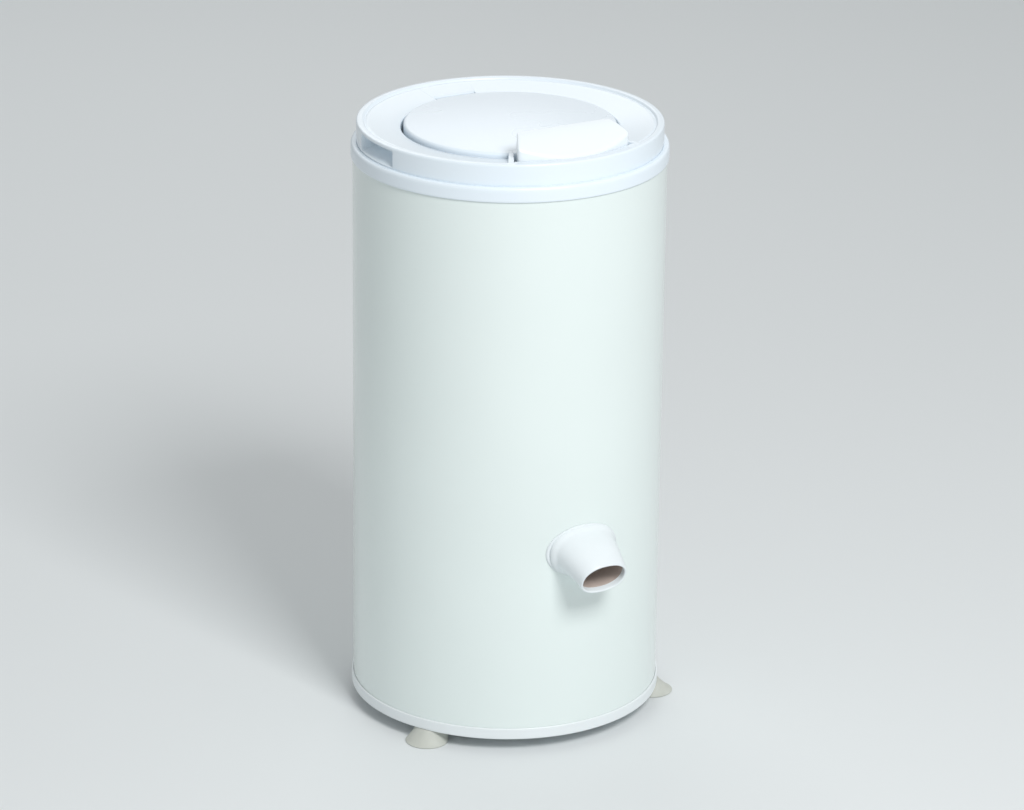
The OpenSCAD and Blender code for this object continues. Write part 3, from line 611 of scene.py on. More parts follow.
@dataclass
class Casing:
    """Painted sheet casing's trim: the outer fold of its lock seam, and the collar."""

    seam_angle: float = 160.0
    seam_width: float = 7.0
    seam_rise: float = 0.7
    seam_sunk: float = 0.2
    seam_back: float = 0.5
    seam_fade: float = 0.012
    seam_low: float = 28.5
    seam_high: float = 629.0
    collar_radius: float = 172.0
    collar_foot: float = 630.0
    collar_top: float = 646.0
    bore: float = 170.3
    seat: float = 641.2
    skirt_radius: float = 168.7
    skirt_inner: float = 165.7
    skirt_foot: float = 623.0

    def seam(self) -> Skin:
        """Fold of the lock seam, a low ridge along the height.

        Its height across the width w is rise * (1 - (2x/w)^4), eased to nothing at both
        ends of its length.

        Returns:
            Its skin.
        """
        across = np.linspace(-1.0, 1.0, 17)
        along = np.concatenate([np.linspace(0, 0.02, 9), np.linspace(0.03, 0.97, 24),
                                np.linspace(0.98, 1.0, 9)])[:, None]
        ends = smooth(along / self.seam_fade) * smooth((1.0 - along) / self.seam_fade)
        front = CASING_R - self.seam_sunk + self.seam_rise * (1.0 - across**4) * ends
        r = np.hstack([front, np.full_like(front, CASING_R - self.seam_back)])
        x = np.concatenate([across, across[::-1]]) * self.seam_width / 2
        a = np.radians(self.seam_angle) + x / CASING_R
        z = self.seam_low + (self.seam_high - self.seam_low) * along
        return Skin().rod(stacked(r * np.sin(a), -r * np.cos(a), z))

    def collar(self) -> Skin:
        """Trim collar over the joint of casing and frame, with a rolled upper edge.

        Returns:
            Its skin.
        """
        out, foot = self.collar_radius, self.collar_foot
        corners = np.array([
            [self.bore, foot], [out - 0.4, foot], [out, foot + 1.6], [out, self.collar_top],
            [self.skirt_inner, self.collar_top], [self.skirt_inner, self.skirt_foot],
            [self.skirt_radius, self.skirt_foot], [self.skirt_radius, self.seat],
            [self.bore, self.seat],
        ])
        radii = np.array([0.1, 0.7, 1.0, 5.0, 0.5, 0.3, 0.3, 0.1, 0.1])
        return turned(rounded(corners, radii, 8), 320)

    def build(self, machine: Machine) -> None:
        """Makes the seam and the collar."""
        machine.stand(self.seam(), "casing_lock_seam", "outer_casing", replace=False)
        machine.stand(self.collar(), "trim_collar", "collar_ring")


@dataclass
class TopFrame:
    """Dished moulding with its rim, land, handle cut-out, side grips and hinge notch.

    marks are the heights on its outer wall where the grips' outline leaves it.
    """

    outer: float = 166.0
    rim: float = 670.0
    rim_inner: float = 158.8
    lip: float = 157.0
    lip_depth: float = 3.0
    slope_outer: float = 154.5
    slope_top: float = 668.4
    dish: float = 661.5
    well: float = 118.0
    mouth: float = 107.0
    ledge: float = 646.0
    foot: float = 626.0
    wall: float = 2.5
    roof: float = 3.0
    marks: tuple[float, ...] = (650.0, 654.0, 658.0, 662.0, 665.0)
    land_half: float = 30.0
    land_top: float = 669.8
    land_under: float = 650.0
    cut_half: float = 27.4
    cut_radius: float = 154.0
    cut_floor: float = 652.5
    grip_half: float = 11.8
    grip_inner: float = 147.0
    grip_low: float = 655.0
    grip_high: float = 662.8
    grip_roof: float = 665.8
    notch_half: float = 11.4
    notch_y: float = 127.5
    slot_half: float = 4.1
    slot_near: float = 129.0
    slot_far: float = 152.0
    soft: float = 0.55

    def columns(self) -> Points:
        """Angles of the grid: one a degree, with more where a section changes.

        Returns:
            Angles in degrees, in order.
        """
        edges = [s * h for s in (-1, 1) for h in (self.land_half, self.cut_half)]
        edges += [c + s * self.grip_half for c in (-90, 90) for s in (-1, 1)]
        edges += [180 - self.notch_half, -180 + self.notch_half]
        near = [e + self.soft * np.linspace(-1.0, 1.0, 17) for e in edges]
        slot = [np.array([-self.slot_half, self.slot_half])]
        return np.unique(np.round(np.concatenate([turns(360), *near, *slot]), 4))

    def slope(self, r: float) -> float:
        """Height of the dished surface at radius r: a straight slope from lip to well."""
        share = (r - self.well) / (self.lip - self.well)
        return self.dish + (self.slope_top - self.dish) * share

    def plain(self) -> Points:
        """Corners of the plain section, from the foot up the wall and back under the dish.

        Corners 9 to 14 are the upper surface from the rim to the well, and 21 to 26 are
        the lower surface below them.

        Returns:
            Corners in (radius, height), shape (28, 2).
        """
        o, w, rim, ledge, t, under = (self.outer, self.well, self.rim, self.ledge, self.wall,
                                      self.roof)
        over = [[r, self.slope(r)] for r in (self.slope_outer, self.slot_far, self.slot_near)]
        return np.array([
            [o - 0.5, self.foot], [o - 0.5, ledge], [o, ledge + 2], *([o, h] for h in self.marks),
            [o, rim], [self.rim_inner, rim], [self.lip, rim - self.lip_depth], *over,
            [w, self.dish], [w, ledge], [self.mouth, ledge], [self.mouth, self.foot],
            [self.mouth + t, self.foot], [self.mouth + t, ledge - under], [w + t, ledge - under],
            [w + t, self.dish - t], *([r, z - under] for r, z in over[:0:-1]),
            [self.lip, self.slope_top - under], [self.rim_inner + 1.7, rim - under],
            [o - under, rim - under], [o - under, self.foot],
        ])

    def sections(self, angles: Points) -> Points:
        """Corners of the section at each angle.

        The section is the plain one P, and goes over to the land, the cut-out, the grips
        and the hinge notch in turn: P becomes P + (Q - P) s, with Q the other section and
        s its eased share of the angle.

        Args:
            angles: Angles in degrees, shape (m,).

        Returns:
            Corners in (radius, height), shape (m, 28, 2).
        """
        o, w, rim, ledge, t = self.outer, self.well, self.rim, self.ledge, self.wall
        far, near, low, inner = self.slot_far, self.slot_near, self.land_under, o - self.roof
        plain = self.plain()
        land = plain.copy()
        land[10:15] = [[r, self.land_top] for r in (self.lip, self.slope_outer, far, near, w)]
        land[21:27] = [[r, low] for r in (w + t, near, far, self.lip, 160.0, inner)]
        cut, cr = land.copy(), self.cut_radius
        cut[9:11] = [[self.lip, self.land_top], [cr, self.land_top]]
        cut[11:15] = [[r, self.cut_floor] for r in (cr, far, near, w)]
        cut[24:27] = [[cr + t, low], [cr + t, rim - self.roof], [inner, rim - self.roof]]
        grip, gi = plain.copy(), self.grip_inner
        grip[2:8] = [[o, ledge + 1.7], [o - 1.5, ledge + 2.5], [gi, self.grip_low],
                     [gi, self.grip_high], [o - 5, self.grip_roof], [o, self.grip_roof]]
        grip[23:27] = [[gi - t, self.slope(gi - t) - self.roof], [gi - t, self.grip_low + 1],
                       [gi - t, ledge + 1], [inner, ledge + 1]]
        shape = np.broadcast_to(plain, (len(angles), *plain.shape)).copy()
        for other, centre, half in ((land, 0, self.land_half), (cut, 0, self.cut_half),
                                    (grip, 90, self.grip_half), (grip, -90, self.grip_half)):
            shape += (other - shape) * bump(angles, centre, half, self.soft)[:, None, None]
        notch, y = shape.copy(), self.notch_y
        cosine = np.maximum(np.abs(np.cos(np.radians(angles))), 0.9)[:, None]
        notch[:, 14:16, 0] = y / cosine
        notch[:, 20:22, 0] = (y + t) / cosine
        notch[:, 14, 1] = self.slope(y)
        for corner, beyond, down in ((13, 3.0, 0.0), (22, 5.0, self.roof)):
            notch[:, corner, 0] = y / cosine[:, 0] + beyond
            notch[:, corner, 1] = self.slope(y + beyond) - down
        share = bump(angles, 180, self.notch_half, self.soft)[:, None, None]
        return shape + (notch - shape) * share

    def skin(self) -> Skin:
        """The moulding as one closed skin, with the hook's slot through the cut-out floor.

        Returns:
            The skin.
        """
        steps = 4
        angles = self.columns()
        # one rounding for each corner; 12 and 13 bound the slot above, 22 and 23 below
        radii = np.array([0.6, 1.5, 1.2, 1.2, 3.0, 2.5, 1.6, 1.4, 2.5, 1.5, 0.8, 1.6, 0, 0, 2.0,
                          1.6, 1.2, 0.8, 0.8, 1.0, 1.0, 1.0, 0, 0, 1.0, 1.0, 0.5, 0.6])
        grid = around(rounded(self.sections(angles), radii, steps), angles)
        each = steps + 1
        far_top, near_top = 12 * each + steps, 13 * each
        near_low, far_low = 22 * each + steps, 23 * each
        inside = (angles >= -self.slot_half - 1e-6) & (angles < self.slot_half - 1e-6)
        keep = np.ones((len(angles), grid.shape[1]), bool)
        keep[np.ix_(inside, [far_top, near_low])] = False
        skin = Skin().add(grid, True, True, keep)
        band = np.nonzero(inside)[0]
        band = np.append(band, band[-1] + 1)
        skin.add(grid[np.ix_(band, [far_top, far_low])])
        skin.add(grid[np.ix_(band, [near_top, near_low])])
        for end in (band[0], band[-1]):
            skin.add(grid[end][[[far_top, near_top], [far_low, near_low]]])
        return skin

    def build(self, machine: Machine) -> None:
        """Makes the top frame."""
        machine.stand(self.skin(), "top_frame_moulding", "top_frame", 40.0)


@dataclass
class Lid:
    """Domed lid disc with its tongue, ears and cowl, the liner under it and its seal."""

    radius: float = 115.0
    edge: float = 666.5
    dome: float = 4.5
    wall: float = 2.5
    foot: float = 652.5
    round: float = 3.0
    chord: float = 112.0
    tongue_z: float = 653.2
    tongue_t: float = 3.0
    tongue_half: float = 26.1
    tongue_reach: float = 151.0
    slot_half: float = 3.8
    slot_depth: float = 21.0
    ear_outer: float = 28.5
    ear_t: float = 4.0
    ear_half: float = 3.5
    hinge_y: float = 121.0
    hinge_z: float = 657.0
    cowl_in: float = 4.3
    cowl_out: float = 5.6
    cowl_half: float = 24.0

    def dome_at(self, r: Points) -> Points:
        """Height of the dome: edge + dome * (1 - (r / flat radius)^2)."""
        return self.edge + self.dome * (1.0 - (r / (self.radius - self.round)) ** 2)

    def disc(self) -> Skin:
        """Domed disc with a skirt, cut flat along the hinge.

        Returns:
            Its skin.
        """
        flat, inner = self.radius - self.round, self.radius - self.wall
        r = np.linspace(0.0, flat, 22)
        top = np.stack([r, self.dome_at(r)], axis=-1)
        bend = self.round * oval(np.radians(np.linspace(86.0, 0.0, 9)))
        edge = bend + [flat, self.edge - self.round]
        skirt = [[self.radius, self.foot + 0.5], [self.radius - 0.5, self.foot]]
        inside = [[inner + 0.3, self.foot], [inner, self.foot + 0.4],
                  [inner, self.edge - self.round]]
        outside = len(top) + len(edge) + len(skirt)
        profile = np.vstack([top, edge, skirt, inside, top[::-1] - [0.0, self.wall]])
        back = np.full(len(profile), self.chord)
        back[outside:] -= self.wall
        return turned(profile, 320, back)

    def tongue(self, skin: Skin) -> None:
        """Plate that reaches forward under the handle, with the ears that hold its pin.

        Args:
            skin: The skin that it is added to.
        """
        slot = 0.3 * np.linspace(-1, 1, 5)
        angles = np.unique(np.round(np.concatenate([
            np.linspace(-self.tongue_half, self.tongue_half, 41),
            self.slot_half + slot, -self.slot_half + slot]), 4))
        far = self.tongue_reach - self.slot_depth * bump(angles, 0.0, self.slot_half, 0.2)
        near = np.full_like(far, self.radius - 1.0)
        low, high = self.tongue_z, self.tongue_z + self.tongue_t
        corners = np.stack([np.stack([r, np.full_like(r, z)], axis=-1) for r, z in (
            (near, low), (far, low), (far, high), (near, high))], axis=1)
        skin.rod(around(rounded(corners, np.array([0.1, 0.8, 0.8, 0.1]), 3), angles))
        y, z, eye, sole = PIN_Y, PIN_Z, self.ear_half, self.tongue_z + 2.0
        side = np.array([[y - 1.6, sole], [y - 1.6, z - 5.0], [y - eye, z - 3.5],
                         [y - eye, z + eye], [y + eye, z + eye], [y + eye, sole]])
        side = rounded(side, np.array([0.2, 1.2, 1.5, 3.4, 3.4, 0.2]), 5)
        for x in (-self.ear_outer, self.ear_outer - self.ear_t):
            plate(skin, side, x, x + self.ear_t)

    def cowl(self, skin: Skin) -> None:
        """Roof over the hinge: flat back from the disc, then an arc about the hinge axis.

        The arc is (y, z) = hinge + r (cos a, sin a) with a from 90 to 40 degrees.

        Args:
            skin: The skin that it is added to.
        """
        bend = oval(np.radians(np.linspace(90.0, 40.0, 9)))
        hinge, start = np.array([self.hinge_y, self.hinge_z]), self.chord - 1.0
        ends = [[start, self.hinge_z + self.cowl_in], [start, self.hinge_z + self.cowl_out]]
        side = np.vstack([ends, hinge + self.cowl_out * bend, hinge + self.cowl_in * bend[::-1]])
        plate(skin, side, -self.cowl_half, self.cowl_half, 0.3)

    def liner(self) -> Skin:
        """Dished liner: a moulded pan with a raised middle and two ring steps.

        Returns:
            Its skin.
        """
        corners = np.array([
            [0, 643.2], [34, 643.2], [37, 640], [60, 640], [62, 641.4], [66, 641.4], [68, 640],
            [101, 640], [101.8, 652.5], [112.1, 652.5], [112.1, 654.4], [103.5, 654.4],
            [103.0, 664.1], [100.6, 664.1], [98.6, 642.6], [39, 642.6], [36, 645.6], [0, 645.6],
        ])
        radii = np.array([0, 3, 3, 1.5, 1.2, 1.2, 1.5, 5, 1.2, 0.5, 0.5, 0.8, 0.4, 0.4, 4, 2, 2, 0])
        return turned(rounded(corners, radii, 5), 256, self.chord - self.wall - 0.2)

    def seal(self) -> Skin:
        """Lip seal under the liner's flange, with a groove between its two lips.

        Returns:
            Its skin.
        """
        corners = np.array([
            [103.0, 652.4], [103.0, 649.5], [104.4, 646.8], [106.2, 646.9], [106.8, 648.6],
            [108.2, 648.6], [108.9, 646.7], [111.0, 646.4], [111.9, 648.0], [110.4, 652.4],
        ])
        radii = np.array([0.3, 0.8, 0.8, 0.6, 0.5, 0.5, 0.6, 0.8, 0.8, 0.3])
        return turned(rounded(corners, radii, 4), 256, self.chord - 1.0)

    def build(self, machine: Machine) -> None:
        """Makes the disc with its tongue and cowl, the liner and the seal."""
        disc = self.disc()
        self.tongue(disc)
        self.cowl(disc)
        machine.stand(disc, "lid_disc", "lid_cover")
        machine.stand(self.liner(), "lid_liner_pan", "lid_liner")
        machine.stand(self.seal(), "lid_lip_seal", "lid_seal")


@dataclass
class Handle:
    """Wedge-shaped lever handle: an open shell with soft edges, and two pads on its pin.

    Seen from above it has an arc of radius front about the drum axis, a straight rear edge,
    and two sides that point to the axis, half degrees from the front.
    """

    front: float = 152.5
    rear: float = 112.0
    half: float = 26.5
    middle: float = -133.0
    corner: float = 26.0
    base: float = 669.8
    rise: float = 24.0
    crown: float = 1.45
    wall: float = 2.5
    roof: float = 3.0
    edge: float = 2.6
    skirt: float = 660.0
    over_lid: float = 673.2
    lid_reach: float = 118.9
    lid_ease: float = 1.5
    lip: float = 0.7
    pad_outer: float = 23.0
    pad_t: float = 4.0

    def top(self, y: Points) -> Points:
        """Height of the top: base + rise * (1 - (1 - s)^crown), s from front to rear."""
        s = np.clip((y + self.front) / (self.front - self.rear), 0.0, 1.0)
        return self.base + self.rise * (1.0 - (1.0 - s) ** self.crown)

    def outline(self, count: int = 240) -> Points:
        """Plan outline: in each direction the smooth least reach of its four sides.

        1/reach^p is the sum of 1/side^p, where a great p, the corner field, gives sharp corners.

        Args:
            count: Points along the outline, evenly spaced.

        Returns:
            Points (x, y), shape (count, 2).
        """
        u = oval(circle(1440))
        dot = u[:, 1] * self.middle
        arc = -dot + np.sqrt(dot**2 - self.middle**2 + self.front**2)
        half = math.radians(self.half)
        inverse = [1.0 / arc, np.maximum(u[:, 1], 0.0) / (-self.middle - self.rear)]
        for sign in (-1, 1):
            normal = np.array([sign * math.cos(half), math.sin(half)])
            inverse.append(np.maximum(u @ normal, 0.0) / (-self.middle * math.sin(half)))
        reach = (np.stack(inverse) ** self.corner).sum(axis=0) ** (-1.0 / self.corner)
        ring = u * reach[:, None] + [0.0, self.middle]
        closed = np.vstack([ring, ring[:1]])
        length = np.r_[0.0, np.cumsum(np.linalg.norm(np.diff(closed, axis=0), axis=1))]
        even = np.linspace(0.0, length[-1], count, endpoint=False)
        return np.stack([np.interp(even, length, closed[:, k]) for k in (0, 1)], axis=-1)

    def inset(self, ring: Points, by: float) -> Points:
        """Moves each point of an outline inwards along its normal.

        Args:
            ring: Points (x, y) in order, shape (n, 2).
            by: How far.

        Returns:
            The moved points.
        """
        along = np.roll(ring, -1, axis=0) - np.roll(ring, 1, axis=0)
        along /= np.linalg.norm(along, axis=1, keepdims=True)
        return ring + by * np.stack([-along[:, 1], along[:, 0]], axis=-1)

    def below(self, flat: Points, down: float) -> Points:
        """Ring of points that lies down below the top, over an outline (x, y)."""
        return np.column_stack([flat, self.top(flat[:, 1]) - down])

    def skin(self) -> Skin:
        """Shell from the middle of its top, over the edge, down the skirt and back inside.

        Returns:
            The skin.
        """
        ring, edge, middle = self.outline(), self.edge, np.array([0.0, self.middle])
        flat = self.inset(ring, edge) - middle
        rows = [self.below(middle + flat * share, 0.0) for share in np.linspace(0.0, 1.0, 13)]
        rows += [self.below(self.inset(ring, edge * (1.0 - math.sin(a))), edge * (1.0 - math.cos(a)))
                 for a in np.radians(np.linspace(12.0, 90.0, 8))]
        over = smooth((self.lid_reach - np.linalg.norm(ring, axis=1)) / self.lid_ease)
        foot = self.skirt + (self.over_lid - self.skirt) * over
        foot = np.minimum(foot, self.top(ring[:, 1]) - edge - 0.6)
        inner = self.inset(ring, self.wall)
        rows += [np.column_stack(level) for level in (
            (ring, foot + self.lip), (self.inset(ring, self.lip), foot),
            (self.inset(ring, self.wall - 0.5), foot), (inner, foot + 0.5))]
        rows.append(self.below(inner, self.roof + 1.2))
        flat = self.inset(ring, self.wall + 1.2) - middle
        rows += [self.below(middle + flat * share, self.roof) for share in np.linspace(1.0, 0.0, 9)]
        skin = Skin().add(np.stack(rows), wrap_v=True)
        for x in (-self.pad_outer, self.pad_outer - self.pad_t):
            low = np.array([x, PIN_Y - 5.0, PIN_Z - 4.5])
            for part in soft_box(low, low + [self.pad_t, 13.5, 9.0], 0.8):
                skin.add(part)
        return skin

    def build(self, machine: Machine) -> None:
        """Makes the handle."""
        machine.stand(self.skin(), "lever_handle", "lid_handle", 44.0)


@dataclass
class Spout:
    """Hooded drain spout on a flange that follows the casing."""

    z: float = 231.0
    mouth_z: float = 213.0
    reach: float = 215.0
    sunk: float = 4.0
    width: float = 55.0
    height: float = 40.0
    tilt: float = 22.0
    wall: float = 2.5
    root_w: float = 38.5
    root_h: float = 26.0
    square: float = 0.9
    start: float = 0.06
    fillet: float = 2.6
    flange_w: float = 43.5
    flange_h: float = 29.5
    flange_t: float = 2.2
    flange_round: float = 1.6
    flange_gap: float = 0.25
    pipe_z: float = 235.5
    pipe_out: float = 15.0
    pipe_in: float = 12.5
    pipe_front: float = 172.5
    pipe_rear: float = 152.0

    @property
    def length(self) -> float:
        """Length from the root, which is sunk in the casing, to the lip."""
        return self.reach - CASING_R + self.sunk

    def ring(self, s: float, inset: float, sides: int = 128) -> Points:
        """Outline of the hood at share s of its length.

        Its reach grows evenly, its middle drops by s^1.8, it tilts by s^1.3, and its half
        sizes go evenly from the root's to the mouth's, with a fillet at the root. The
        outline is an ellipse whose sine and cosine are raised to the field square.

        Args:
            s: Share of the length.
            inset: How far it is drawn in.
            sides: Points of the outline.

        Returns:
            Points, shape (sides, 3).
        """
        reach = CASING_R - self.sunk + self.length * s
        high = self.z - (self.z - self.mouth_z) * s**1.8
        tilt = math.radians(self.tilt * s**1.3)
        grow = self.fillet * max(1.0 - max(s - 0.13, 0.0) / 0.1, 0.0) ** 2 - inset
        wide = self.root_w - (self.root_w - self.width / 2) * s + grow
        tall = self.root_h - (self.root_h - self.height / 2) * s + grow
        x, up = (oval(circle(sides), self.square) * [wide, tall]).T
        return stacked(x, -(reach + up * math.sin(tilt)), high + up * math.cos(tilt))

    def hood(self) -> Points:
        """Thin hood with a rounded lip, closed inside the flange.

        Returns:
            Its grid.
        """
        half = self.wall / 2
        end = 1.0 - half / self.length
        rows = [self.ring(s, 0.0) for s in np.linspace(self.start, end, 26)]
        rows += [self.ring(end + half / self.length * math.sin(a), half * (1.0 - math.cos(a)))
                 for a in np.linspace(0.2, math.pi - 0.2, 7)]
        rows += [self.ring(s, self.wall) for s in np.linspace(end, self.start, 22)]
        return np.stack(rows)

    def lining(self) -> Points:
        """Thin warm grey sheet on the hood's inner wall, back from its lip: painted shade for the
        dark inside of the mouth.

        Returns:
            Its grid.
        """
        shares = np.linspace(0.12, 0.87, 18)
        rows = [self.ring(s, self.wall + 0.05) for s in shares]
        rows += [self.ring(s, self.wall + 0.2) for s in shares[::-1]]
        return np.stack(rows)

    def flange(self) -> Points:
        """Plate on the casing between the drain hole and an ellipse.

        A point goes straight from the hole's circle to the ellipse, and stands at the
        casing's radius plus the plate's thickness.

        Returns:
            Its grid.
        """
        edge, curve, gap = self.flange_t, self.flange_round, self.flange_gap
        lines = [(0.0, edge), *((s, edge) for s in np.linspace(0.1, 0.95, 9))]
        lines += [(0.95 + 0.05 * math.sin(a), edge - curve + curve * math.cos(a))
                  for a in np.linspace(0.25, math.pi / 2, 6)]
        lines += [(s, gap) for s in (1.0, 0.9, 0.4, 0.0)]
        s, stand = np.array(lines).T[..., None]
        q = circle(128)
        x = np.cos(q) * ((1 - s) * self.pipe_in + s * self.flange_w)
        z = (1 - s) * self.pipe_z + s * self.z + np.sin(q) * (
            (1 - s) * self.pipe_in + s * self.flange_h)
        return stacked(x, -np.sqrt((CASING_R + stand) ** 2 - x**2), z)

    def pipe(self) -> Points:
        """Stub behind the flange that goes into the drain sleeve.

        Returns:
            Its grid.
        """
        out, bore, front, rear = self.pipe_out, self.pipe_in, self.pipe_front, self.pipe_rear
        lines = np.array([[bore, front], [out, front - 0.5], [out, rear + 0.6],
                          [out - 0.6, rear], [bore + 0.4, rear], [bore, rear + 0.5]])
        r, y = lines.T[..., None]
        q = circle(64)
        return stacked(r * np.cos(q), -y, self.pipe_z + r * np.sin(q))

    def build(self, machine: Machine) -> None:
        """Makes the spout, and the sheet of painted shade in its mouth."""
        skin, shade_film = Skin(), Skin().add(self.lining(), True, True)
        for grid in (self.hood(), self.flange(), self.pipe()):
            skin.add(grid, True, True)
        machine.stand(skin, "drain_spout", "spout", 50.0)
        # the sheet inside the mouth is painted shade: a warm grey finish laid on the hood's inner
        # wall
        machine.stand(shade_film, "spout_painted_shade_film", "spout", 50.0, SPOUT_PAINTED_SHADE, False)


@dataclass
class Feet:
    """Three leaning flared feet, each with a ring groove in its sole."""

    places: tuple[tuple[str, float], ...] = (
        ("front_left", -60.0), ("front_right", 60.0), ("rear", 180.0))
    reach: float = 166.0
    neck: float = 156.0
    radius: float = 23.5
    neck_radius: float = 17.0
    height: float = 15.0
    groove_in: float = 13.0
    groove_out: float = 17.0
    groove_depth: float = 0.7

    def foot(self, angle: float) -> Skin:
        """A flared foot: radius neck + (sole - neck)(1 - t)^1.35, middle leaning inwards.

        Args:
            angle: Where it stands.

        Returns:
            Its skin.
        """
        t = np.linspace(0.0, 1.0, 22)
        radius = self.neck_radius + (self.radius - self.neck_radius) * (1.0 - t) ** 1.35
        centre = self.reach + (self.neck - self.reach) * t**0.75
        deep = self.groove_depth
        sole = [(self.reach, r, z) for r, z in (
            (0.0, 0.0), (self.groove_in, 0.0), (self.groove_in + 0.8, deep),
            (self.groove_out - 0.8, deep), (self.groove_out, 0.0),
            (self.radius - 1.0, 0.0), (self.radius - 0.3, 0.3))]
        top = [(self.neck, self.neck_radius - 0.4, self.height), (self.neck, 0.0, self.height)]
        wall = zip(centre, radius, 1.0 + (self.height - 1.0) * t)
        middle, r, z = np.array([*sole, *wall, *top]).T[..., None]
        q, a = circle(72), math.radians(angle)
        x, y = r * np.cos(q), r * np.sin(q) - middle
        return Skin().add(stacked(x * math.cos(a) - y * math.sin(a),
                                  x * math.sin(a) + y * math.cos(a), z), wrap_v=True)

    def build(self, machine: Machine) -> None:
        """Makes the three feet."""
        for place, angle in self.places:
            machine.stand(self.foot(angle), f"flared_foot_{place}", f"foot_{place}", 50.0)


@dataclass(frozen=True)
class Spring:
    """Wire wound along X from start to end, about a line at y and z."""

    start: float
    end: float
    y: float
    z: float
    radius: float
    wire: float
    count: int

    def skin(self) -> Skin:
        """Closed wire (x, y + r cos a, z + r sin a), with x growing evenly with a.

        Returns:
            Its skin.
        """
        a = np.linspace(0.0, 2 * np.pi * self.count, self.count * 28 + 1)
        path = stacked(self.start + (self.end - self.start) * a / a[-1],
                       self.y + self.radius * np.cos(a), self.z + self.radius * np.sin(a))
        return Skin().rod(tube(path, self.wire, 10, (1.0, 0.0, 0.0)))


@dataclass
class Windings:
    """Springs, cable and motor windings: everything wound or drawn."""

    handle_spring: Spring = Spring(10.0, 16.5, PIN_Y, PIN_Z, 3.3, 0.5, 4)
    brake_spring: Spring = Spring(15.0, 42.5, -46.0, 203.0, 4.0, 0.7, 7)
    brake_travel: float = 2.2
    sheath: float = 2.2
    core: float = 0.9
    cable: tuple[Place, ...] = (
        (14, -128, 637.5), (19, -128.5, 637.5), (24, -131, 638), (30, -138, 638),
        (34, -144, 636.5), (36, -147.5, 631),
        (36, -147.5, 624), (38, -148, 612), (46, -146, 598), (62, -140, 578),
        (84, -128, 552), (100, -115.5, 524), (107, -109, 496),
        *((108, -108, z) for z in range(470, 230, -40)),
        (106, -104, 248), (101, -92, 230), (94, -76, 216), (85, -58, 207), (75, -45, 203.5),
        (64, -40, 203))
    bare: tuple[Place, ...] = ((51.2, -40, 203), (58, -40, 203), (66, -40, 203))
    head_radius: float = 46.0
    head_spans: tuple[tuple[float, float], ...] = ((84.0, 102.0), (156.0, 172.0))
    bundle: float = 5.1
    swell: float = 0.9

    def bowden(self) -> Skin:
        """Sheathed cable from the interlock to the brake arm, with its bare inner wire.

        Returns:
            Its skin.
        """
        sheath = tube(through(np.array(self.cable), 220), self.sheath, 14)
        return Skin().rod(sheath).rod(tube(np.array(self.bare), self.core, 10, (0.0, 1.0, 0.0)))

    def coil_heads(self) -> Skin:
        """Two rings of coil heads; each swells where a bundle crosses, 24 to the turn.

        Half the thickness is bundle + swell * |sin 12a|, which is at most 6, and the
        height swells with it to the full span.

        Returns:
            Their skin.
        """
        skin, angles = Skin(), turns(288)
        half = self.bundle + self.swell * np.abs(np.sin(np.radians(12 * angles)))[:, None]
        across, up = oval(circle(28), 0.7).T
        for low, high in self.head_spans:
            tall = (high - low) / 2 * half / (self.bundle + self.swell)
            section = np.stack([self.head_radius + half * across, (low + high) / 2 + tall * up], -1)
            skin.add(around(section, angles), True, True)
        return skin

    def build(self, machine: Machine) -> None:
        """Makes both springs, the cable and the windings."""
        machine.stand(self.handle_spring.skin(), "handle_return_spring", "handle_spring")
        coil = self.brake_spring
        spring = machine.stand(coil.skin(), "brake_return_spring", "brake_spring")
        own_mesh(spring)
        machine.stand(self.bowden(), "brake_bowden_cable", "brake_cable")
        machine.stand(self.coil_heads(), "stator_coil_heads", "stator_windings")


# ---- studio --------------------------------------------------------------


@dataclass(frozen=True)
class Lamp:
    """Square soft box, with its power in watts and its place and side in metres."""

    name: str
    power: float
    place: Place
    size: float


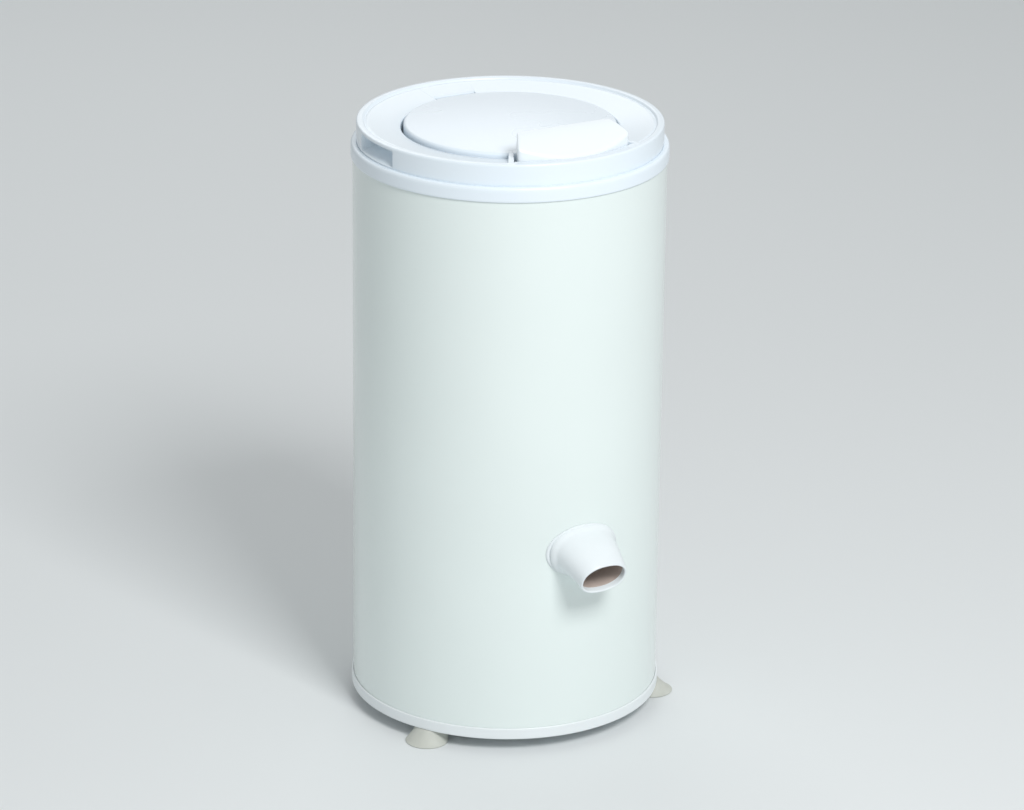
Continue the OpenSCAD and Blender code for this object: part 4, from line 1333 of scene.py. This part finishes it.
@dataclass
class Studio:
    """Camera, lamps, world and floor. Distances are in metres, turns in radians."""

    lens: float = 153.385
    sensor: float = 36.0
    distance: float = 4.5
    height: float = 2.035165
    azimuth: float = math.radians(-29.5)
    tilt: float = 0.3601175
    roll: float = 0.01129389
    yaw: float = 0.001157
    floor_half: float = 30.0
    floor_colour: str = "#e6eaeb"
    world_colour: str = "#f3f5f6"
    world_strength: float = 0.48
    aim: Place = (0.0, 0.0, 0.35)
    lamps: tuple[Lamp, ...] = (Lamp("key_softbox", 100.0, (-0.15, -2.95, 3.2), 1.3),
                               Lamp("rear_softbox", 15.0, (0.8, 2.8, 2.6), 2.0))

    def camera(self) -> None:
        """Stands the camera where the photograph was taken from.

        It is rolled about its line of sight, tilted down from the level line to the drum
        axis, and turned from that line by yaw.
        """
        data = bpy.data.cameras.new("camera")
        data.lens, data.sensor_width = self.lens, self.sensor
        data.clip_start, data.clip_end = 0.1, 100.0
        camera = bpy.data.objects.new("camera", data)
        bpy.context.scene.collection.objects.link(camera)
        a = self.azimuth
        place = (self.distance * math.sin(a), -self.distance * math.cos(a), self.height)
        camera.matrix_world = (
            Matrix.Translation(place) @ Matrix.Rotation(a - self.yaw, 4, "Z")
            @ Matrix.Rotation(math.pi / 2 - self.tilt, 4, "X") @ Matrix.Rotation(self.roll, 4, "Z"))
        bpy.context.scene.camera = camera

    def light(self) -> None:
        """Large soft lamps that all face the machine."""
        for lamp in self.lamps:
            data = bpy.data.lights.new(lamp.name, "AREA")
            data.energy, data.size = lamp.power, lamp.size
            stand = bpy.data.objects.new(lamp.name, data)
            bpy.context.scene.collection.objects.link(stand)
            stand.location = lamp.place
            stand.rotation_mode = "QUATERNION"
            line = Vector(self.aim) - Vector(lamp.place)
            stand.rotation_quaternion = line.to_track_quat("-Z", "Y")

    def world(self) -> None:
        """Even pale world, and a Standard view.

        The camera and clear or glossy surfaces see the floor's colour at full strength,
        so that the floor has no horizon, and all else is lit by the world's own.
        """
        scene = bpy.context.scene
        scene.view_settings.view_transform = "Standard"
        scene.world = bpy.data.worlds.new("studio")
        scene.world.use_nodes = True
        tree = scene.world.node_tree
        back = tree.nodes["Background"]
        back.inputs["Color"].default_value = linear(self.world_colour)
        back.inputs["Strength"].default_value = self.world_strength
        seen = add(tree, "Background", {"Color": linear(self.floor_colour), "Strength": 1.0})
        path = add(tree, "LightPath").outputs
        ray = path["Is Camera Ray"]
        for other in ("Is Glossy Ray", "Is Transmission Ray"):
            ray = add(tree, "Math", {"operation": "MAXIMUM"}, {0: ray, 1: path[other]}).outputs[0]
        mix = add(tree, "MixShader", links={0: ray, 1: back.outputs[0], 2: seen.outputs[0]})
        tree.links.new(mix.outputs[0], tree.nodes["World Output"].inputs["Surface"])

    def floor(self) -> None:
        """Wide plain floor, matt and the same all over."""
        side = np.array([-1.0, 1.0]) * self.floor_half / MM
        grid = stacked(side[:, None], side, 0.0)
        finish = Finish("matt_floor", self.floor_colour, self.floor_colour, 0.7, 8.0, 0.02, 900.0)
        Skin().add(grid).build("floor", finish)

    def build(self) -> None:
        """Makes the camera first, then the light and the floor."""
        self.camera()
        self.world()
        self.light()
        self.floor()


def main() -> None:
    logging.basicConfig(level=logging.INFO, format="%(name)s: %(message)s")
    for item in list(bpy.data.objects):
        bpy.data.objects.remove(item)
    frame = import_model()
    Studio().build()
    machine = Machine(frame)
    machine.dress_nodes()
    for part in (Casing(), TopFrame(), Lid(), Handle(), Spout(), Feet(), Windings()):
        part.build(machine)


if __name__ == "__main__":
    main()
